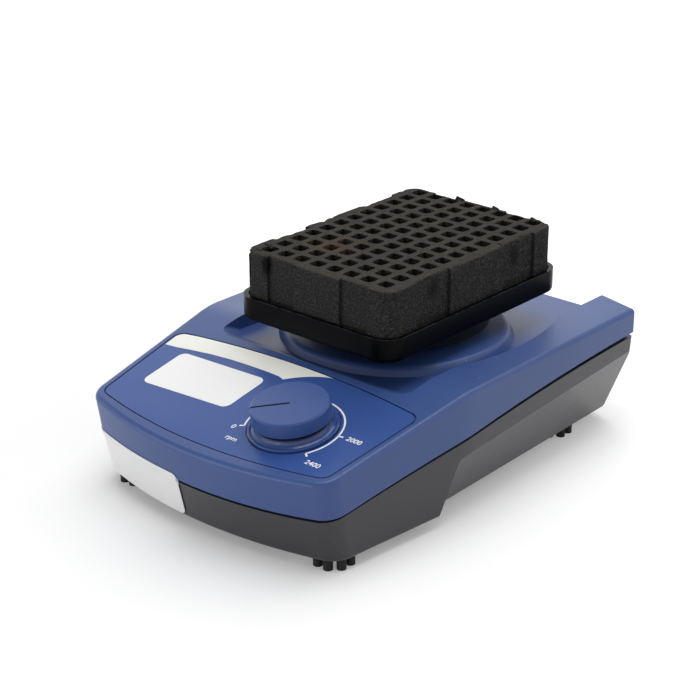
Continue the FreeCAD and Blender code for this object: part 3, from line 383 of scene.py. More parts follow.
def metal(name, colour, rough, stretch=(60.0, 60.0, 900.0)):
    """Turned or plated metal with fine machining lines."""
    material, tree, shader = new_material(name)
    shader.inputs["Metallic"].default_value = 1.0
    place = node(tree, "ShaderNodeTexCoord").outputs["Object"]
    scaled = node(tree, "ShaderNodeMapping", Scale=stretch)
    link(tree, place, scaled.inputs["Vector"])
    lines = node(tree, "ShaderNodeTexNoise", Scale=12.0, Detail=4.0)
    link(tree, scaled.outputs[0], lines.inputs["Vector"])
    tone = use_group(tree, grain_group(), Scale=900.0, Broad=70.0)
    link(tree, mix_colour(tree, tone.outputs["Tone"], shade(colour, 0.86), shade(colour, 1.06)),
         shader.inputs["Base Color"])
    link(tree, map_range(tree, lines.outputs[0], 0.3, 0.7, rough - 0.07, rough + 0.10), shader.inputs["Roughness"])
    bump_from(tree, shader, lines.outputs[0], 0.00001)
    return material


def foam_finish(name, colour, top, stain):
    """Open-cell foam: dark cells, dusty worn top, brown stains round some pockets, and torn spots darkened with
    painted shade.
    """
    material, tree, shader = new_material(name)
    shader.inputs["Specular IOR Level"].default_value = 0.08
    shader.inputs["Roughness"].default_value = 0.95
    place = node(tree, "ShaderNodeTexCoord").outputs["Object"]
    cells = node(tree, "ShaderNodeTexVoronoi", Scale=1150.0)
    crumbs = node(tree, "ShaderNodeTexNoise", Scale=1350.0, Detail=3.0, Roughness=0.6)
    broad = node(tree, "ShaderNodeTexNoise", Scale=70.0, Detail=4.0, Roughness=0.6)
    for made in (cells, crumbs, broad):
        link(tree, place, made.inputs["Vector"])
    up = node(tree, "ShaderNodeSeparateXYZ")
    link(tree, node(tree, "ShaderNodeNewGeometry").outputs["Normal"], up.inputs[0])
    high = node(tree, "ShaderNodeSeparateXYZ")
    link(tree, place, high.inputs[0])
    near_top = map_range(tree, high.outputs["Z"], 0.0895, 0.0922)
    worn = math_node(tree, "MULTIPLY", map_range(tree, up.outputs["Z"], 0.15, 0.75), near_top)
    uneven = math_node(tree, "MULTIPLY", worn, map_range(tree, broad.outputs[0], 0.25, 0.6, 0.55, 1.0))
    grain = map_range(tree, crumbs.outputs[0], 0.36, 0.64)
    body = mix_colour(tree, grain, shade(colour, 0.45), shade(colour, 1.65))
    topped = mix_colour(tree, uneven, body, top)
    spots = math_node(tree, "MULTIPLY", map_range(tree, crumbs.outputs[0], 0.57, 0.72), 0.22)
    pale = mix_colour(tree, spots, topped, FLECK)
    deep = map_range(tree, cells.outputs["Distance"], 0.15, 0.6, 0.0, 0.45)
    celled = mix_colour(tree, deep, pale, shade(colour, 0.45))
    blot = None
    for x, y, reach in FOAM_STAINS:
        away = node(tree, "ShaderNodeVectorMath", operation="DISTANCE")
        link(tree, place, away.inputs[0])
        away.inputs[1].default_value = (x * MM, y * MM, STAIN_Z * MM)
        ring = map_range(tree, away.outputs["Value"], reach * MM, 0.3 * reach * MM)
        blot = ring if blot is None else math_node(tree, "MAXIMUM", blot, ring)
    soaked = math_node(tree, "MULTIPLY", blot, map_range(tree, broad.outputs[0], 0.3, 0.6, 0.1, 0.75))
    stained = mix_colour(tree, soaked, celled, stain)
    # Torn spots: painted shade of the torn hollows, nearly black
    torn = None
    for spot, spread, amount in FOAM_TEARS:
        near = node(tree, "ShaderNodeMapping", vector_type="TEXTURE", Location=tuple(v * MM for v in spot),
                    Scale=tuple(v * MM for v in spread))
        link(tree, place, near.inputs["Vector"])
        away = node(tree, "ShaderNodeVectorMath", operation="LENGTH")
        link(tree, near.outputs[0], away.inputs[0])
        frayed = math_node(tree, "ADD", away.outputs["Value"], math_node(tree, "MULTIPLY", broad.outputs[0], 1.2))
        hole = map_range(tree, frayed, 1.55, 1.0, 0.0, amount)
        torn = hole if torn is None else math_node(tree, "MAXIMUM", torn, hole)
    link(tree, mix_colour(tree, torn, stained, TORN_SHADE), shader.inputs["Base Color"])
    relief = math_node(tree, "ADD", math_node(tree, "MULTIPLY", crumbs.outputs[0], 0.7), cells.outputs["Distance"])
    bump_from(tree, shader, relief, 0.0004)
    return material


def seen_directly(tree):
    """Mask of what the camera sees, straight or by reflection or through a clear piece."""
    seen = node(tree, "ShaderNodeLightPath").outputs
    mirrored = math_node(tree, "MAXIMUM", seen["Is Glossy Ray"], seen["Is Transmission Ray"])
    return math_node(tree, "MAXIMUM", seen["Is Camera Ray"], mirrored)


def paint(material, *names):
    """Gives CAD nodes their finish."""
    for name in names:
        slots = NODES[name].data.materials
        slots.clear()
        slots.append(material)


def soften(name, width, segments=3, angle=35.0):
    """Rounds a CAD node's hard edges for the render."""
    bevel = NODES[name].modifiers.new("soft_edges", "BEVEL")
    bevel.width = width
    bevel.segments = segments
    bevel.limit_method = "ANGLE"
    bevel.angle_limit = math.radians(angle)
    bevel.use_clamp_overlap = True
    bevel.harden_normals = True


# Pieces that lie on the panel

def panel_point(x, y, lift):
    """A point of the sloped panel from its plan x and y and its lift off the bend plane, in mm."""
    v = (y - BEND_Y) / math.cos(SLOPE)
    return Vector((x, BEND_Y + v * math.cos(SLOPE) - lift * math.sin(SLOPE),
                   BEND_Z + v * math.sin(SLOPE) + lift * math.cos(SLOPE))) * MM


def knob_point(radius, degrees):
    """Plan x and y of a point round the knob's axis on the panel, in mm."""
    t = math.radians(degrees)
    v = KNOB_V + radius * math.sin(t)
    return KNOB_X + radius * math.cos(t), BEND_Y + v * math.cos(SLOPE)


def new_piece(name, mesh, material, body, smooth=False):
    """An object from a mesh that rides on a body."""
    mesh.materials.append(material)
    for face in mesh.polygons:
        face.use_smooth = smooth
    piece = bpy.data.objects.new(name, mesh)
    bpy.context.scene.collection.objects.link(piece)
    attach(piece, body)
    return piece


def film_mesh(name, outline, thick):
    """A thin closed film on the panel with the given plan outline in mm."""
    bm = bmesh.new()
    low = [bm.verts.new(panel_point(x, y, FILM_LIFT - FILM_SINK)) for x, y in outline]
    high = [bm.verts.new(panel_point(x, y, FILM_LIFT + thick / MM)) for x, y in outline]
    bm.faces.new(low[::-1])
    bm.faces.new(high)
    for i in range(len(outline)):
        j = (i + 1) % len(outline)
        bm.faces.new((low[i], low[j], high[j], high[i]))
    bmesh.ops.recalc_face_normals(bm, faces=bm.faces)
    bmesh.ops.triangulate(bm, faces=[f for f in bm.faces if len(f.verts) > 4])
    mesh = bpy.data.meshes.new(name)
    bm.to_mesh(mesh)
    bm.free()
    return mesh


def rounded(corners, radius, steps=7):
    """A plan outline with its corners rounded."""
    outline = []
    count = len(corners)
    for i in range(count):
        here = Vector(corners[i])
        before = (Vector(corners[i - 1]) - here).normalized()
        after = (Vector(corners[(i + 1) % count]) - here).normalized()
        half = before.angle(after) / 2.0
        reach = radius / math.tan(half)
        start, end = here + before * reach, here + after * reach
        middle = here + (before + after).normalized() * (radius / math.sin(half))
        for k in range(steps + 1):
            t = k / steps
            point = start.lerp(end, t) - middle
            outline.append(tuple(middle + point.normalized() * radius))
    return outline


def panel_rear(x):
    """Plan y of the panel's rear edge."""
    return BEND_Y + (REAR_V - REAR_BOW + math.sqrt(REAR_BOW ** 2 - x * x)) * math.cos(SLOPE)


def stripe_outline():
    """The stripe's plan outline: panel edge, a swept lower edge, and an arc round the knob to its tip."""
    outline = [(-64.6, -52.6), (-58.4, -51.9), (-51.9, -50.6), (-41.4, -48.8), (-30.9, -47.7), (-20.5, -47.2),
               (-10.0, -47.1), (-3.4, -47.3)]
    for degrees in range(139, 103, -2):
        x, y = knob_point(STRIPE_ARC_R, degrees)
        outline.append((x, min(y, panel_rear(x) - 0.05)))
    for x in range(16, -62, -6):
        outline.append((float(x), panel_rear(x)))
    corner_y = panel_rear(-62.0)
    outline += [(inset - PANEL_HALF, corner_y - drop) for inset, drop in ((5.0, 0.5), (3.6, 1.6), (2.8, 3.6))]
    return outline


def dial_text(body, x, y, size, material):
    """A word or number of the scale as a thin raised print."""
    curve = bpy.data.curves.new("dial_" + body, "FONT")
    curve.body = body
    curve.size = size
    curve.align_x = "CENTER"
    curve.align_y = "CENTER"
    curve.extrude = sizes().print_thick / 2
    curve.offset = size * 0.012
    carrier = bpy.data.objects.new("carrier_" + body, curve)
    bpy.context.scene.collection.objects.link(carrier)
    bpy.context.view_layer.update()
    mesh = bpy.data.meshes.new_from_object(carrier.evaluated_get(bpy.context.evaluated_depsgraph_get()))
    bpy.data.objects.remove(carrier)
    mesh.name = "dial_" + body
    mesh.materials.clear()
    mesh.transform(Matrix.Translation(panel_point(x, y, FILM_LIFT + PRINT_RISE)) @ Matrix.Rotation(SLOPE, 4, "X"))
    return new_piece("dial_" + body, mesh, material, "base")


def band_outline(radius, width, start, end, step=3.0):
    """Plan outline of a band round the knob's axis, from start to end in degrees."""
    count = max(1, int(abs(end - start) / step))
    turns = [start + (end - start) * i / count for i in range(count + 1)]
    outer = [knob_point(radius + width / 2, t) for t in turns]
    inner = [knob_point(radius - width / 2, t) for t in reversed(turns)]
    return outer + inner


# Operators

class MIXER_OT_housing(bpy.types.Operator):
    """Gives the housing halves, feet and skirt their finishes."""

    bl_idname = "mixer.housing"
    bl_label = "Housing"

    def execute(self, context):
        c, s = colours(), sizes()
        blue = moulded("housing_moulded_blue", c.housing, 0.40, depth=0.000004, specks=0.5, haze=0.01, gloss=0.48)
        grey = moulded("base_moulded_grey", c.base, 0.28, depth=0.000006, tone=0.08, wear=0.35, specks=0.3,
                       gloss=0.45)
        rubber = moulded("rubber_black", c.rubber, 0.70, grain=1200.0, depth=0.00003, wear=0.1, gloss=0.3)
        paint(blue, "upper_housing")
        paint(grey, "lower_housing")
        paint(rubber, "foot_front_left", "foot_front_right", "foot_rear_left", "foot_rear_right", "drip_skirt")
        soften("lower_housing", s.edge_round)
        return {"FINISHED"}


class MIXER_OT_panel(bpy.types.Operator):
    """Finishes the panel film and lays the stripe and the bare label on it."""

    bl_idname = "mixer.panel"
    bl_label = "Panel film, stripe and label"

    def execute(self, context):
        c, s = colours(), sizes()
        # The film's edge faces get painted shade, darkening the gap round the panel
        film = moulded("panel_film_blue", c.panel, 0.34, grain=2600.0, depth=0.000004, tone=0.06, wear=0.2,
                       specks=0.35, haze=0.01, gloss=0.35, dark=panel_gap_shade)
        paint(film, "front_panel")
        ivory = moulded("stripe_ivory", c.stripe, 0.38, grain=2200.0, depth=0.00001, tone=0.02, wear=0.0,
                        specks=0.0, haze=0.0)
        white = moulded("sticker_white", c.film, 0.34, grain=1500.0, depth=0.00001, tone=0.015, wear=0.0,
                        specks=0.0, haze=0.0)
        new_piece("panel_stripe", film_mesh("panel_stripe", stripe_outline(), s.film_thick), ivory, "base")
        label = rounded(LABEL_CORNERS, LABEL_ROUND)
        new_piece("panel_label", film_mesh("panel_label", label, s.film_thick), white, "base")
        return {"FINISHED"}


class MIXER_OT_sticker(bpy.types.Operator):
    """Lays the bare sticker on the front, over the parting line and round the left corner."""

    bl_idname = "mixer.sticker"
    bl_label = "Front sticker"

    # Heights and corner radius in mm, turns in degrees, other lengths in metres
    low = 6.3
    high = 25.7
    corner = 2.6
    columns = 64
    rows = 16
    bow = 0.2
    middle_y = 0.097
    start_turn = -2.15
    sweep = 18.6
    far_out = 0.4
    lift = 0.0002
    sharp = 40.0

    def execute(self, context):
        trees = []
        for name in ("upper_housing", "lower_housing"):
            shell = bmesh.new()
            shell.from_mesh(NODES[name].data)
            trees.append(BVHTree.FromBMesh(shell))
            shell.free()
        bm = bmesh.new()
        grid = [self.column(bm, trees, i / self.columns) for i in range(self.columns + 1)]
        for here, after in zip(grid, grid[1:]):
            for k in range(self.rows):
                bm.faces.new((here[k], after[k], after[k + 1], here[k + 1]))
        bmesh.ops.recalc_face_normals(bm, faces=bm.faces)
        mesh = bpy.data.meshes.new("front_sticker")
        bm.to_mesh(mesh)
        bm.free()
        carrier = bpy.data.objects.new("sticker_carrier", mesh)
        context.scene.collection.objects.link(carrier)
        film = carrier.modifiers.new("film", "SOLIDIFY")
        film.thickness = sizes().film_thick
        film.offset = 0.0
        context.view_layer.update()
        closed = bpy.data.meshes.new_from_object(carrier.evaluated_get(context.evaluated_depsgraph_get()))
        bpy.data.objects.remove(carrier)
        closed.name = "front_sticker"
        new_piece("front_sticker", closed, bpy.data.materials["sticker_white"], "base", True)
        closed.set_sharp_from_angle(angle=math.radians(self.sharp))
        return {"FINISHED"}

    def column(self, bm, trees, part):
        """One column of the sticker's points, from the bottom up, just off the outermost shell."""
        along = 0.5 - 0.5 * math.cos(math.pi * part)
        turn = math.radians(self.start_turn - self.sweep * along)
        out = Vector((math.sin(turn), -math.cos(turn), 0.0))
        end = min(along, 1.0 - along) * math.radians(self.sweep) * self.bow / MM
        cut = self.corner - math.sqrt(max(0.0, self.corner ** 2 - max(0.0, self.corner - end) ** 2))
        tall = self.high - self.low - 2 * cut
        heights = [self.low + cut + tall * k / self.rows for k in range(self.rows + 1)]
        starts = [Vector((0.0, self.middle_y, z * MM)) + out * self.far_out for z in heights]
        fars = [self.outermost(trees, start, -out) for start in starts]
        for k in range(1, self.rows + 1):
            fars[k] = min(fars[k], fars[k - 1])
        smooth = [min(fars[max(0, k - 1):k + 2]) for k in range(self.rows + 1)]
        return [bm.verts.new(start - out * (far - self.lift)) for start, far in zip(starts, smooth)]

    @staticmethod
    def outermost(trees, start, direction):
        """Distance to the first hit on either housing half along a direction."""
        hits = [tree.ray_cast(start, direction)[3] for tree in trees]
        hits = [far for far in hits if far is not None]
        if not hits:
            raise RuntimeError("the sticker misses the housing")
        return min(hits)


class MIXER_OT_dial(bpy.types.Operator):
    """Prints the scale round the knob: line, ticks and numbers."""

    bl_idname = "mixer.dial"
    bl_label = "Printed scale"

    def execute(self, context):
        c, s = colours(), sizes()
        ink = moulded("scale_print_white", c.print_white, 0.45, tone=0.03, wear=0.0, specks=0.0, haze=0.0)
        radius, line = s.scale_radius / MM, s.scale_line / MM
        arc = band_outline(radius, line, SCALE_START, SCALE_END)
        new_piece("dial_line", film_mesh("dial_line", arc, s.print_thick), ink, "base")
        half = math.degrees(line / 2 / radius)
        for name, degrees, reach in (("low", SCALE_START, 2.0), ("mark", SCALE_MARK, 2.2), ("high", SCALE_END, 2.2)):
            tick = band_outline(radius + reach / 2, reach, degrees - half, degrees + half)
            new_piece("dial_tick_" + name, film_mesh("dial_tick_" + name, tick, s.print_thick), ink, "base")
        for body, x, y, gain in DIAL_WORDS:
            dial_text(body, x, y, s.digit_size * gain, ink)
        return {"FINISHED"}


class MIXER_OT_knob(bpy.types.Operator):
    """Gives the knob and its bezel their finishes."""

    bl_idname = "mixer.knob"
    bl_label = "Speed knob"

    def execute(self, context):
        c, s = colours(), sizes()
        # The knob's pointer groove gets painted shade
        satin = moulded("knob_satin_blue", c.knob, 0.38, grain=2200.0, depth=0.000008, tone=0.06, wear=0.3,
                        specks=0.25, haze=0.01, dark=pointer_groove_shade)
        # The bezel's recess under the knob gets painted shade
        glossy = moulded("bezel_gloss_blue", c.knob, 0.20, depth=0.000003, tone=0.06, wear=0.3, specks=0.25,
                         haze=0.01, dark=bezel_recess_shade)
        paint(satin, "speed_knob")
        paint(glossy, "knob_bezel")
        soften("speed_knob", s.edge_round * 0.7)
        return {"FINISHED"}


class MIXER_OT_tray(bpy.types.Operator):
    """Gives the tray and its hub their black finishes."""

    bl_idname = "mixer.tray"
    bl_label = "Plate tray and hub"

    def execute(self, context):
        c = colours()
        # The large edge gain makes the rim's pale line a painted highlight
        black = moulded("tray_moulded_black", c.tray, 0.24, grain=1500.0, depth=0.000001, wear=0.6, specks=0.2,
                        haze=0.001, gloss=0.05, wear_and_glint_gain=60.0)
        hub = moulded("hub_anodised_black", (0.006, 0.006, 0.007), 0.45, tone=0.1, wear=0.2, specks=0.1, haze=0.0,
                      gloss=0.15)
        paint(black, "plate_tray")
        paint(hub, "table_hub")
        return {"FINISHED"}


class MIXER_OT_foam(bpy.types.Operator):
    """Builds the worn foam block with its pockets in place of the plain one."""

    bl_idname = "mixer.foam"
    bl_label = "Foam block"

    # Block and pockets, in mm
    pitch = 9.0
    pocket = 5.4
    depth = 18.0
    shift = 1.6
    margin = 0.5
    corner = 6.9
    recess = 1.4
    lip_open = 0.36
    lip_deep = 0.8
    blunt = 0.32
    levels = (0.0, 0.25, lip_deep, 4.5, 9.0, 13.5, depth)
    rim = ((1.5, 0.0), (0.55, 0.0), (0.14, 0.35), (0.0, 1.0))
    end_recesses = ((-25.75, -11.25), (13.75, 28.25))
    side_recesses = ((-37.9, -16.9), (20.1, 41.1))
    side_rows = 11
    corner_steps = 8
    sharp = 38.0

    # Wear: crumbling of the rim in metres, scales of the noise, and crumbs and dents in mm
    rim_reach = 0.002
    rim_deep = 0.0015
    crumble = 0.0022
    dent_through = 0.0012
    skin_scales = (420.0, 160.0)
    crumble_scale = 230.0
    crumble_shift = (3.1, 0.7, 5.2)
    flaps = ((-9.7, 80.6, 6.0, 1.7), (9.9, 80.6, 4.6, 1.5), (-33.6, -19.5, 5.0, 0.8), (-32.4, -26.4, 4.0, 0.7),
             (30.5, 80.2, 3.6, 0.9))
    dents = ((-35.6, -31.0, 84.5, 0.9, 6.0, 2.4), (41.0, 12.0, 91.8, 4.0, 1.4, 0.8),
             (41.0, 52.0, 92.0, 5.0, 1.3, 0.7))

    def execute(self, context):
        c, s = colours(), sizes()
        low, high = (Vector(p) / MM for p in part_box("foam_block"))
        self.middle, self.half = (low + high) / 2, (high - low) / 2
        self.low_z, self.top_z = low.z, high.z
        bm = bmesh.new()
        inner = self.add_top(bm)
        self.add_sides(bm, inner)
        for flap in self.flaps:
            self.add_flap(bm, *flap)
        bmesh.ops.recalc_face_normals(bm, faces=bm.faces)
        mesh = bpy.data.meshes.new("foam_pad")
        bm.to_mesh(mesh)
        bm.free()
        self.wear(mesh, s.foam_rough)
        skin = foam_finish("foam_open_cell", c.foam, c.foam_top, c.stain)
        foam = new_piece("foam_pad", mesh, skin, "table", True)
        # Pocket walls and floors get a darker copy of the foam: painted shade inside the pockets
        mesh.materials.append(foam_finish("foam_pocket_shade", shade(c.foam, 0.65), shade(c.foam_top, 0.8), c.stain))
        mesh.set_sharp_from_angle(angle=math.radians(self.sharp))
        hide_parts("foam_block")
        return {"FINISHED"}

    def lines(self, count, shift, cuts):
        """Grid lines of the top along one direction, in mm from the block's middle."""
        half = self.pocket / 2
        spots = []
        for i in range(count):
            place = (i - (count - 1) / 2) * self.pitch + shift
            spots += [place - half, place - half / 3, place + half / 3, place + half]
            if i < count - 1:
                spots.append(place + self.pitch / 2)
        ends = [spots[0] - self.margin, spots[-1] + self.margin]
        steps = [edge + side for pair in cuts for edge in pair for side in (-0.04, 0.04)]
        return sorted(ends + spots + steps)

    def is_pocket(self, x, y):
        def inside(value):
            return abs((value / self.pitch) % 1.0 - 0.5) * self.pitch < self.pocket / 2
        return inside(x) and inside(y - self.shift)

    def pocket_edge(self, x, y, drop):
        """Moves a point of a pocket's edge: blunt corners, and a worn lip that opens towards the top."""
        half = self.pocket / 2
        from_x = x - (math.floor(x / self.pitch) + 0.5) * self.pitch
        from_y = y - self.shift - (math.floor((y - self.shift) / self.pitch) + 0.5) * self.pitch
        if max(abs(from_x), abs(from_y)) > half + 0.01:
            return x, y
        lip = self.lip_open * max(0.0, 1.0 - drop / self.lip_deep) ** 2
        at_x, at_y = abs(from_x) > half - 0.01, abs(from_y) > half - 0.01
        if at_x and at_y:
            lip -= self.blunt
        return x + (math.copysign(lip, from_x) if at_x else 0.0), y + (math.copysign(lip, from_y) if at_y else 0.0)

    def place(self, x, y, z):
        return Vector((self.middle.x + x, self.middle.y + y, z)) * MM

    def add_top(self, bm):
        """The top with its pockets; returns the grid lines and the grid's vertices."""
        xs = self.lines(8, 0.0, self.end_recesses)
        ys = self.lines(12, self.shift, self.side_recesses)
        grid = {}

        def corner(i, j, z=self.top_z):
            key = (i, j, z)
            if key not in grid:
                x, y = self.pocket_edge(xs[i], ys[j], self.top_z - z)
                grid[key] = bm.verts.new(self.place(x, y, z))
            return grid[key]

        levels = [self.top_z - drop for drop in self.levels]
        for i in range(len(xs) - 1):
            for j in range(len(ys) - 1):
                here = [(i, j), (i + 1, j), (i + 1, j + 1), (i, j + 1)]
                if not self.is_pocket((xs[i] + xs[i + 1]) / 2, (ys[j] + ys[j + 1]) / 2):
                    bm.faces.new([corner(*k) for k in here])
                    continue
                # Pocket floor: the darker, painted-shade copy of the foam
                bm.faces.new([corner(*k, levels[-1]) for k in here]).material_index = 1
                beyond = [(i, j - 1), (i + 1, j), (i, j + 1), (i - 1, j)]
                for side, (a, b) in enumerate(beyond):
                    if self.is_pocket((xs[a] + xs[a + 1]) / 2, (ys[b] + ys[b + 1]) / 2):
                        continue
                    first, second = here[side], here[(side + 1) % 4]
                    for upper, lower in zip(levels, levels[1:]):
                        wall = bm.faces.new([corner(*first, upper), corner(*second, upper),
                                             corner(*second, lower), corner(*first, lower)])
                        # Pocket wall: the darker, painted-shade copy of the foam
                        wall.material_index = 1
        return xs, ys, corner

    def reach(self, along, half_out, half_along, recesses):
        """How far a side stands from the middle at a place along it."""
        past = abs(along) - (half_along - self.corner)
        if past > 0:
            return half_out - self.corner + math.sqrt(max(0.0, self.corner ** 2 - past ** 2))
        cut = any(a < along < b for a, b in recesses)
        return half_out - (self.recess if cut else 0.0)

    def outline(self, xs, ys):
        """Pairs of grid corner and outer point, once round the block."""
        hx, hy = self.half.x, self.half.y
        last_x, last_y = len(xs) - 1, len(ys) - 1
        pairs = []

        def front(x):
            return self.reach(x, hy, hx, self.end_recesses)

        def side(y):
            return self.reach(y, hx, hy, self.side_recesses)

        def turn(i, j, start, end):
            centre = Vector((math.copysign(hx - self.corner, start[0]), math.copysign(hy - self.corner, start[1])))
            for k in range(self.corner_steps + 1):
                out = (Vector(start).lerp(Vector(end), k / self.corner_steps) - centre).normalized() * self.corner
                pairs.append(((i, j), tuple(centre + out)))

        x0, x1, y0, y1 = xs[0], xs[-1], ys[0], ys[-1]
        turn(0, 0, (-side(y0), y0), (x0, -front(x0)))
        pairs.extend(((i, 0), (xs[i], -front(xs[i]))) for i in range(1, last_x))
        turn(last_x, 0, (x1, -front(x1)), (side(y0), y0))
        pairs.extend(((last_x, j), (side(ys[j]), ys[j])) for j in range(1, last_y))
        turn(last_x, last_y, (side(y1), y1), (x1, front(x1)))
        pairs.extend(((i, last_y), (xs[i], front(xs[i]))) for i in range(last_x - 1, 0, -1))
        turn(0, last_y, (x0, front(x0)), (-side(y1), y1))
        pairs.extend(((0, j), (-side(ys[j]), ys[j])) for j in range(last_y - 1, 0, -1))
        return pairs

    def add_sides(self, bm, inner):
        """The rim of the top, the sides with their shallow recesses, and the underside."""
        xs, ys, corner = inner
        pairs = self.outline(xs, ys)
        rings = [[corner(*key) for key, _ in pairs]]
        span = self.top_z - self.low_z
        sides = [(0.0, span * k / self.side_rows) for k in range(1, self.side_rows + 1)]
        for inset, drop in (*self.rim, *sides):
            ring = []
            for key, out in pairs:
                root = Vector((xs[key[0]], ys[key[1]]))
                toward = root - Vector(out)
                part = min(inset / max(toward.length, 1e-6), 0.7)
                spot = Vector(out) + toward * part
                ring.append(bm.verts.new(self.place(spot.x, spot.y, self.top_z - drop)))
            rings.append(ring)
        count = len(pairs)
        for upper, lower in zip(rings, rings[1:]):
            for k in range(count):
                n = (k + 1) % count
                loop = [upper[k], upper[n], lower[n], lower[k]]
                if upper[k] is upper[n]:
                    loop.pop(1)
                bm.faces.new(loop)
        bm.faces.new(rings[-1])

    def add_flap(self, bm, x, y, length, rise):
        """A torn crumb that stands up from the top edge."""
        top = self.top_z
        points = [(x - length / 2, y - 1.4, top - 0.6), (x + length / 2, y - 1.4, top - 0.6),
                  (x + length / 2.6, y + 0.4, top - 0.6), (x - length / 2.4, y + 0.4, top - 0.6),
                  (x - length / 3.0, y - 0.9, top + rise), (x + length / 4.0, y - 0.7, top + rise * 0.5),
                  (x + length / 4.4, y + 0.1, top + rise * 0.4), (x - length / 3.2, y - 0.1, top + rise * 0.9)]
        v = [bm.verts.new(Vector(p) * MM) for p in points]
        for loop in ((3, 2, 1, 0), (4, 5, 6, 7), (0, 1, 5, 4), (1, 2, 6, 5), (2, 3, 7, 6), (3, 0, 4, 7)):
            bm.faces.new([v[i] for i in loop])

    def wear(self, mesh, height):
        """Uneven skin, crumbled top edges and a few dents."""
        low, high = (Vector(p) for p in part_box("foam_block"))
        places = []
        for vertex in mesh.vertices:
            p = vertex.co
            push = sum(noise.noise(p * scale) * height * 0.6 for scale in self.skin_scales)
            rim = min(p.x - low.x, high.x - p.x, p.y - low.y, high.y - p.y)
            if p.z > high.z - self.rim_deep and rim < self.rim_reach:
                lost = noise.noise(p * self.crumble_scale + Vector(self.crumble_shift)) - 0.05
                push -= max(0.0, lost) * self.crumble
            move = vertex.normal * push
            for x, y, z, wide, tall, deep in self.dents:
                away = p - Vector((x, y, z)) * MM
                right = x > self.half.x
                inward = Vector((-1.0, 0.0, 0.0)) if right else Vector((0.0, 1.0, 0.0))
                across = away.y if right else away.x
                through = abs(away.x) if right else abs(away.y)
                if through < self.dent_through and abs(across) < wide * MM and abs(away.z) < tall * MM:
                    fade = 1.0 - (across / (wide * MM)) ** 2
                    move = move + inward * (deep * MM * fade)
            places.append(p + move)
        for vertex, place in zip(mesh.vertices, places):
            place.z = max(place.z, low.z)
            vertex.co = place


class MIXER_OT_inside(bpy.types.Operator):
    """Gives the drive, control board, screws and rear socket their finishes."""

    bl_idname = "mixer.inside"
    bl_label = "Drive, board and fasteners"

    def execute(self, context):
        paint(metal("steel_turned", (0.55, 0.55, 0.56), 0.32), "ballast_plate", "motor_bracket", "motor_can",
              "shaft_bearing", "eccentric_shaft", "orbit_bearing", "idler_crank_1", "idler_crank_2",
              "idler_crank_3", "pot_shaft")
        paint(metal("zinc_plate", (0.62, 0.62, 0.63), 0.36), "housing_screws", "motor_screws", "board_screws",
              "tray_screws", "hub_bolt", "pot_nut", "inlet_pin")
        paint(metal("brass_turned", (0.70, 0.52, 0.22), 0.30), "idler_bushes", "counterweight", "board_standoffs")
        paint(metal("aluminium_milled", (0.72, 0.72, 0.74), 0.30), "orbit_carrier", "capacitors")
        paint(moulded("solder_mask_green", (0.03, 0.16, 0.07), 0.35, tone=0.12), "control_board")
        paint(moulded("black_plastic", (0.02, 0.02, 0.022), 0.45), "motor_driver", "power_inlet", "pot_body")
        return {"FINISHED"}


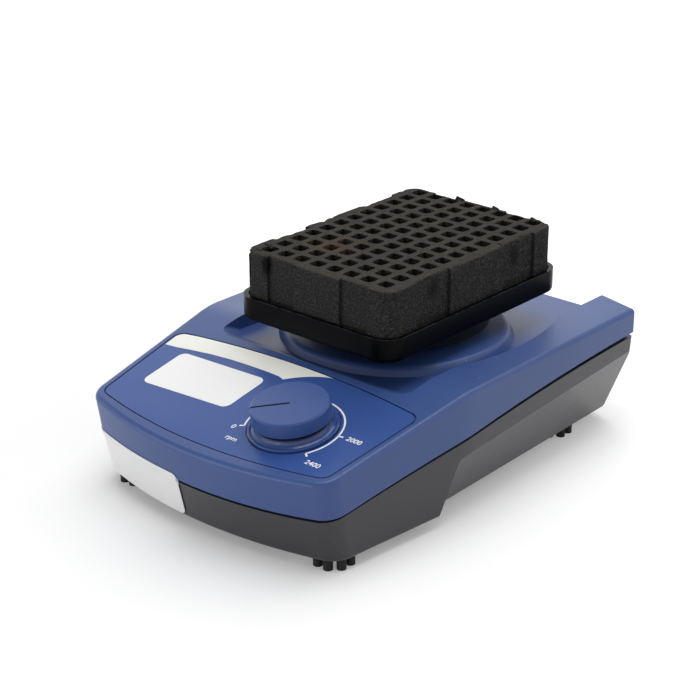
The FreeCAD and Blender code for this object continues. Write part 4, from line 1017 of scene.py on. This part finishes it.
class MIXER_OT_stage(bpy.types.Operator):
    """Sets the floor, the soft lights, the white surround and the camera."""

    bl_idname = "mixer.stage"
    bl_label = "Stage"

    def execute(self, context):
        self.floor()
        self.surround()
        for lamp in LAMPS:
            self.lamp(*lamp)
        self.camera()
        context.scene.view_settings.view_transform = "Standard"
        return {"FINISHED"}

    @staticmethod
    def floor():
        """A pale floor that is white to the eye further off, with painted shade in front and to the left."""
        bm = bmesh.new()
        bmesh.ops.create_grid(bm, x_segments=8, y_segments=8, size=6.0)
        mesh = bpy.data.meshes.new("floor")
        bm.to_mesh(mesh)
        bm.free()
        material, tree, shader = new_material("floor_pale")
        shader.inputs["Base Color"].default_value = (0.80, 0.80, 0.80, 1.0)
        shader.inputs["Roughness"].default_value = 0.75
        shader.inputs["Specular IOR Level"].default_value = 0.1
        place = node(tree, "ShaderNodeTexCoord").outputs["Object"]
        away = node(tree, "ShaderNodeVectorMath", operation="DISTANCE")
        link(tree, place, away.inputs[0])
        away.inputs[1].default_value = FLOOR_SHADE
        # Emission painted on the floor: less near the mixer's front and left as painted shade, more further off
        near = map_range(tree, away.outputs["Value"], 0.13, 0.36, 0.23, 0.47)
        far = map_range(tree, away.outputs["Value"], 0.5, 1.8, 0.0, 0.30)
        glow = math_node(tree, "ADD", near, far)
        link(tree, math_node(tree, "MULTIPLY", glow, seen_directly(tree)), shader.inputs["Emission Strength"])
        shader.inputs["Emission Color"].default_value = (1.0, 1.0, 1.0, 1.0)
        mesh.materials.append(material)
        floor = bpy.data.objects.new("floor", mesh)
        bpy.context.scene.collection.objects.link(floor)

    @staticmethod
    def surround():
        """A surround that is white to the eye, and that lights the mixer softly from above."""
        world = bpy.data.worlds.new("white_surround")
        bpy.context.scene.world = world
        world.use_nodes = True
        tree = world.node_tree
        back = tree.nodes["Background"]
        back.inputs["Color"].default_value = (1.0, 1.0, 1.0, 1.0)
        eye = seen_directly(tree)
        rise = node(tree, "ShaderNodeSeparateXYZ")
        link(tree, node(tree, "ShaderNodeTexCoord").outputs["Generated"], rise.inputs[0])
        ceiling = map_range(tree, rise.outputs["Z"], 0.42, 0.72, 1.0, 0.25)
        shown = math_node(tree, "MULTIPLY", eye, ceiling)
        dome = map_range(tree, rise.outputs["Z"], 0.05, 0.65, 0.16, 0.46)
        unseen = math_node(tree, "MULTIPLY", math_node(tree, "SUBTRACT", 1.0, eye), dome)
        link(tree, math_node(tree, "ADD", shown, unseen), back.inputs["Strength"])

    @staticmethod
    def lamp(name, place, wide, tall, watts):
        """A soft lamp that faces the mixer."""
        data = bpy.data.lights.new(name, "AREA")
        data.shape = "RECTANGLE"
        data.size = wide
        data.size_y = tall
        data.energy = watts
        lamp = bpy.data.objects.new(name, data)
        lamp.location = place
        aim = Vector(LAMP_AIM) - Vector(place)
        lamp.rotation_euler = aim.to_track_quat("-Z", "Y").to_euler()
        bpy.context.scene.collection.objects.link(lamp)

    @staticmethod
    def camera():
        """The camera that was solved from the foam's pockets."""
        data = bpy.data.cameras.new("camera")
        data.sensor_width = 36.0
        data.lens = 95.92
        back = Vector((0.60320, -0.69536, 0.39067)).normalized()
        right = Vector((0.0, 0.0, 1.0)).cross(back).normalized()
        turn = Matrix((right, back.cross(right), back)).transposed()
        camera = bpy.data.objects.new("camera", data)
        camera.matrix_world = Matrix.Translation((0.4748, -0.5544, 0.3579)) @ turn.to_4x4()
        bpy.context.scene.collection.objects.link(camera)
        bpy.context.scene.camera = camera


class MIXER_PT_sidebar(bpy.types.Panel):
    """Lists the mixer's steps, sizes and colours."""

    bl_idname = "MIXER_PT_sidebar"
    bl_label = "Vortex mixer"
    bl_space_type = "VIEW_3D"
    bl_region_type = "UI"
    bl_category = "Mixer"

    def draw(self, context):
        for step in STEPS:
            self.layout.operator(step.bl_idname)
        for group in (context.scene.mixer_sizes, context.scene.mixer_colours):
            for name in group.__annotations__:
                self.layout.prop(group, name)


STEPS = (MIXER_OT_housing, MIXER_OT_panel, MIXER_OT_sticker, MIXER_OT_dial, MIXER_OT_knob, MIXER_OT_tray,
         MIXER_OT_foam, MIXER_OT_inside, MIXER_OT_stage)
CLASSES = (MixerColours, MixerSizes, *STEPS, MIXER_PT_sidebar)


def register():
    for cls in CLASSES:
        bpy.utils.register_class(cls)
    bpy.types.Scene.mixer_colours = bpy.props.PointerProperty(type=MixerColours)
    bpy.types.Scene.mixer_sizes = bpy.props.PointerProperty(type=MixerSizes)


def unregister():
    del bpy.types.Scene.mixer_sizes
    del bpy.types.Scene.mixer_colours
    for cls in reversed(CLASSES):
        bpy.utils.unregister_class(cls)


def main():
    register()
    bpy.ops.mixer.housing()
    bpy.ops.mixer.panel()
    bpy.ops.mixer.sticker()
    bpy.ops.mixer.dial()
    bpy.ops.mixer.knob()
    bpy.ops.mixer.tray()
    bpy.ops.mixer.foam()
    bpy.ops.mixer.inside()
    bpy.ops.mixer.stage()


if __name__ == "__main__":
    main()
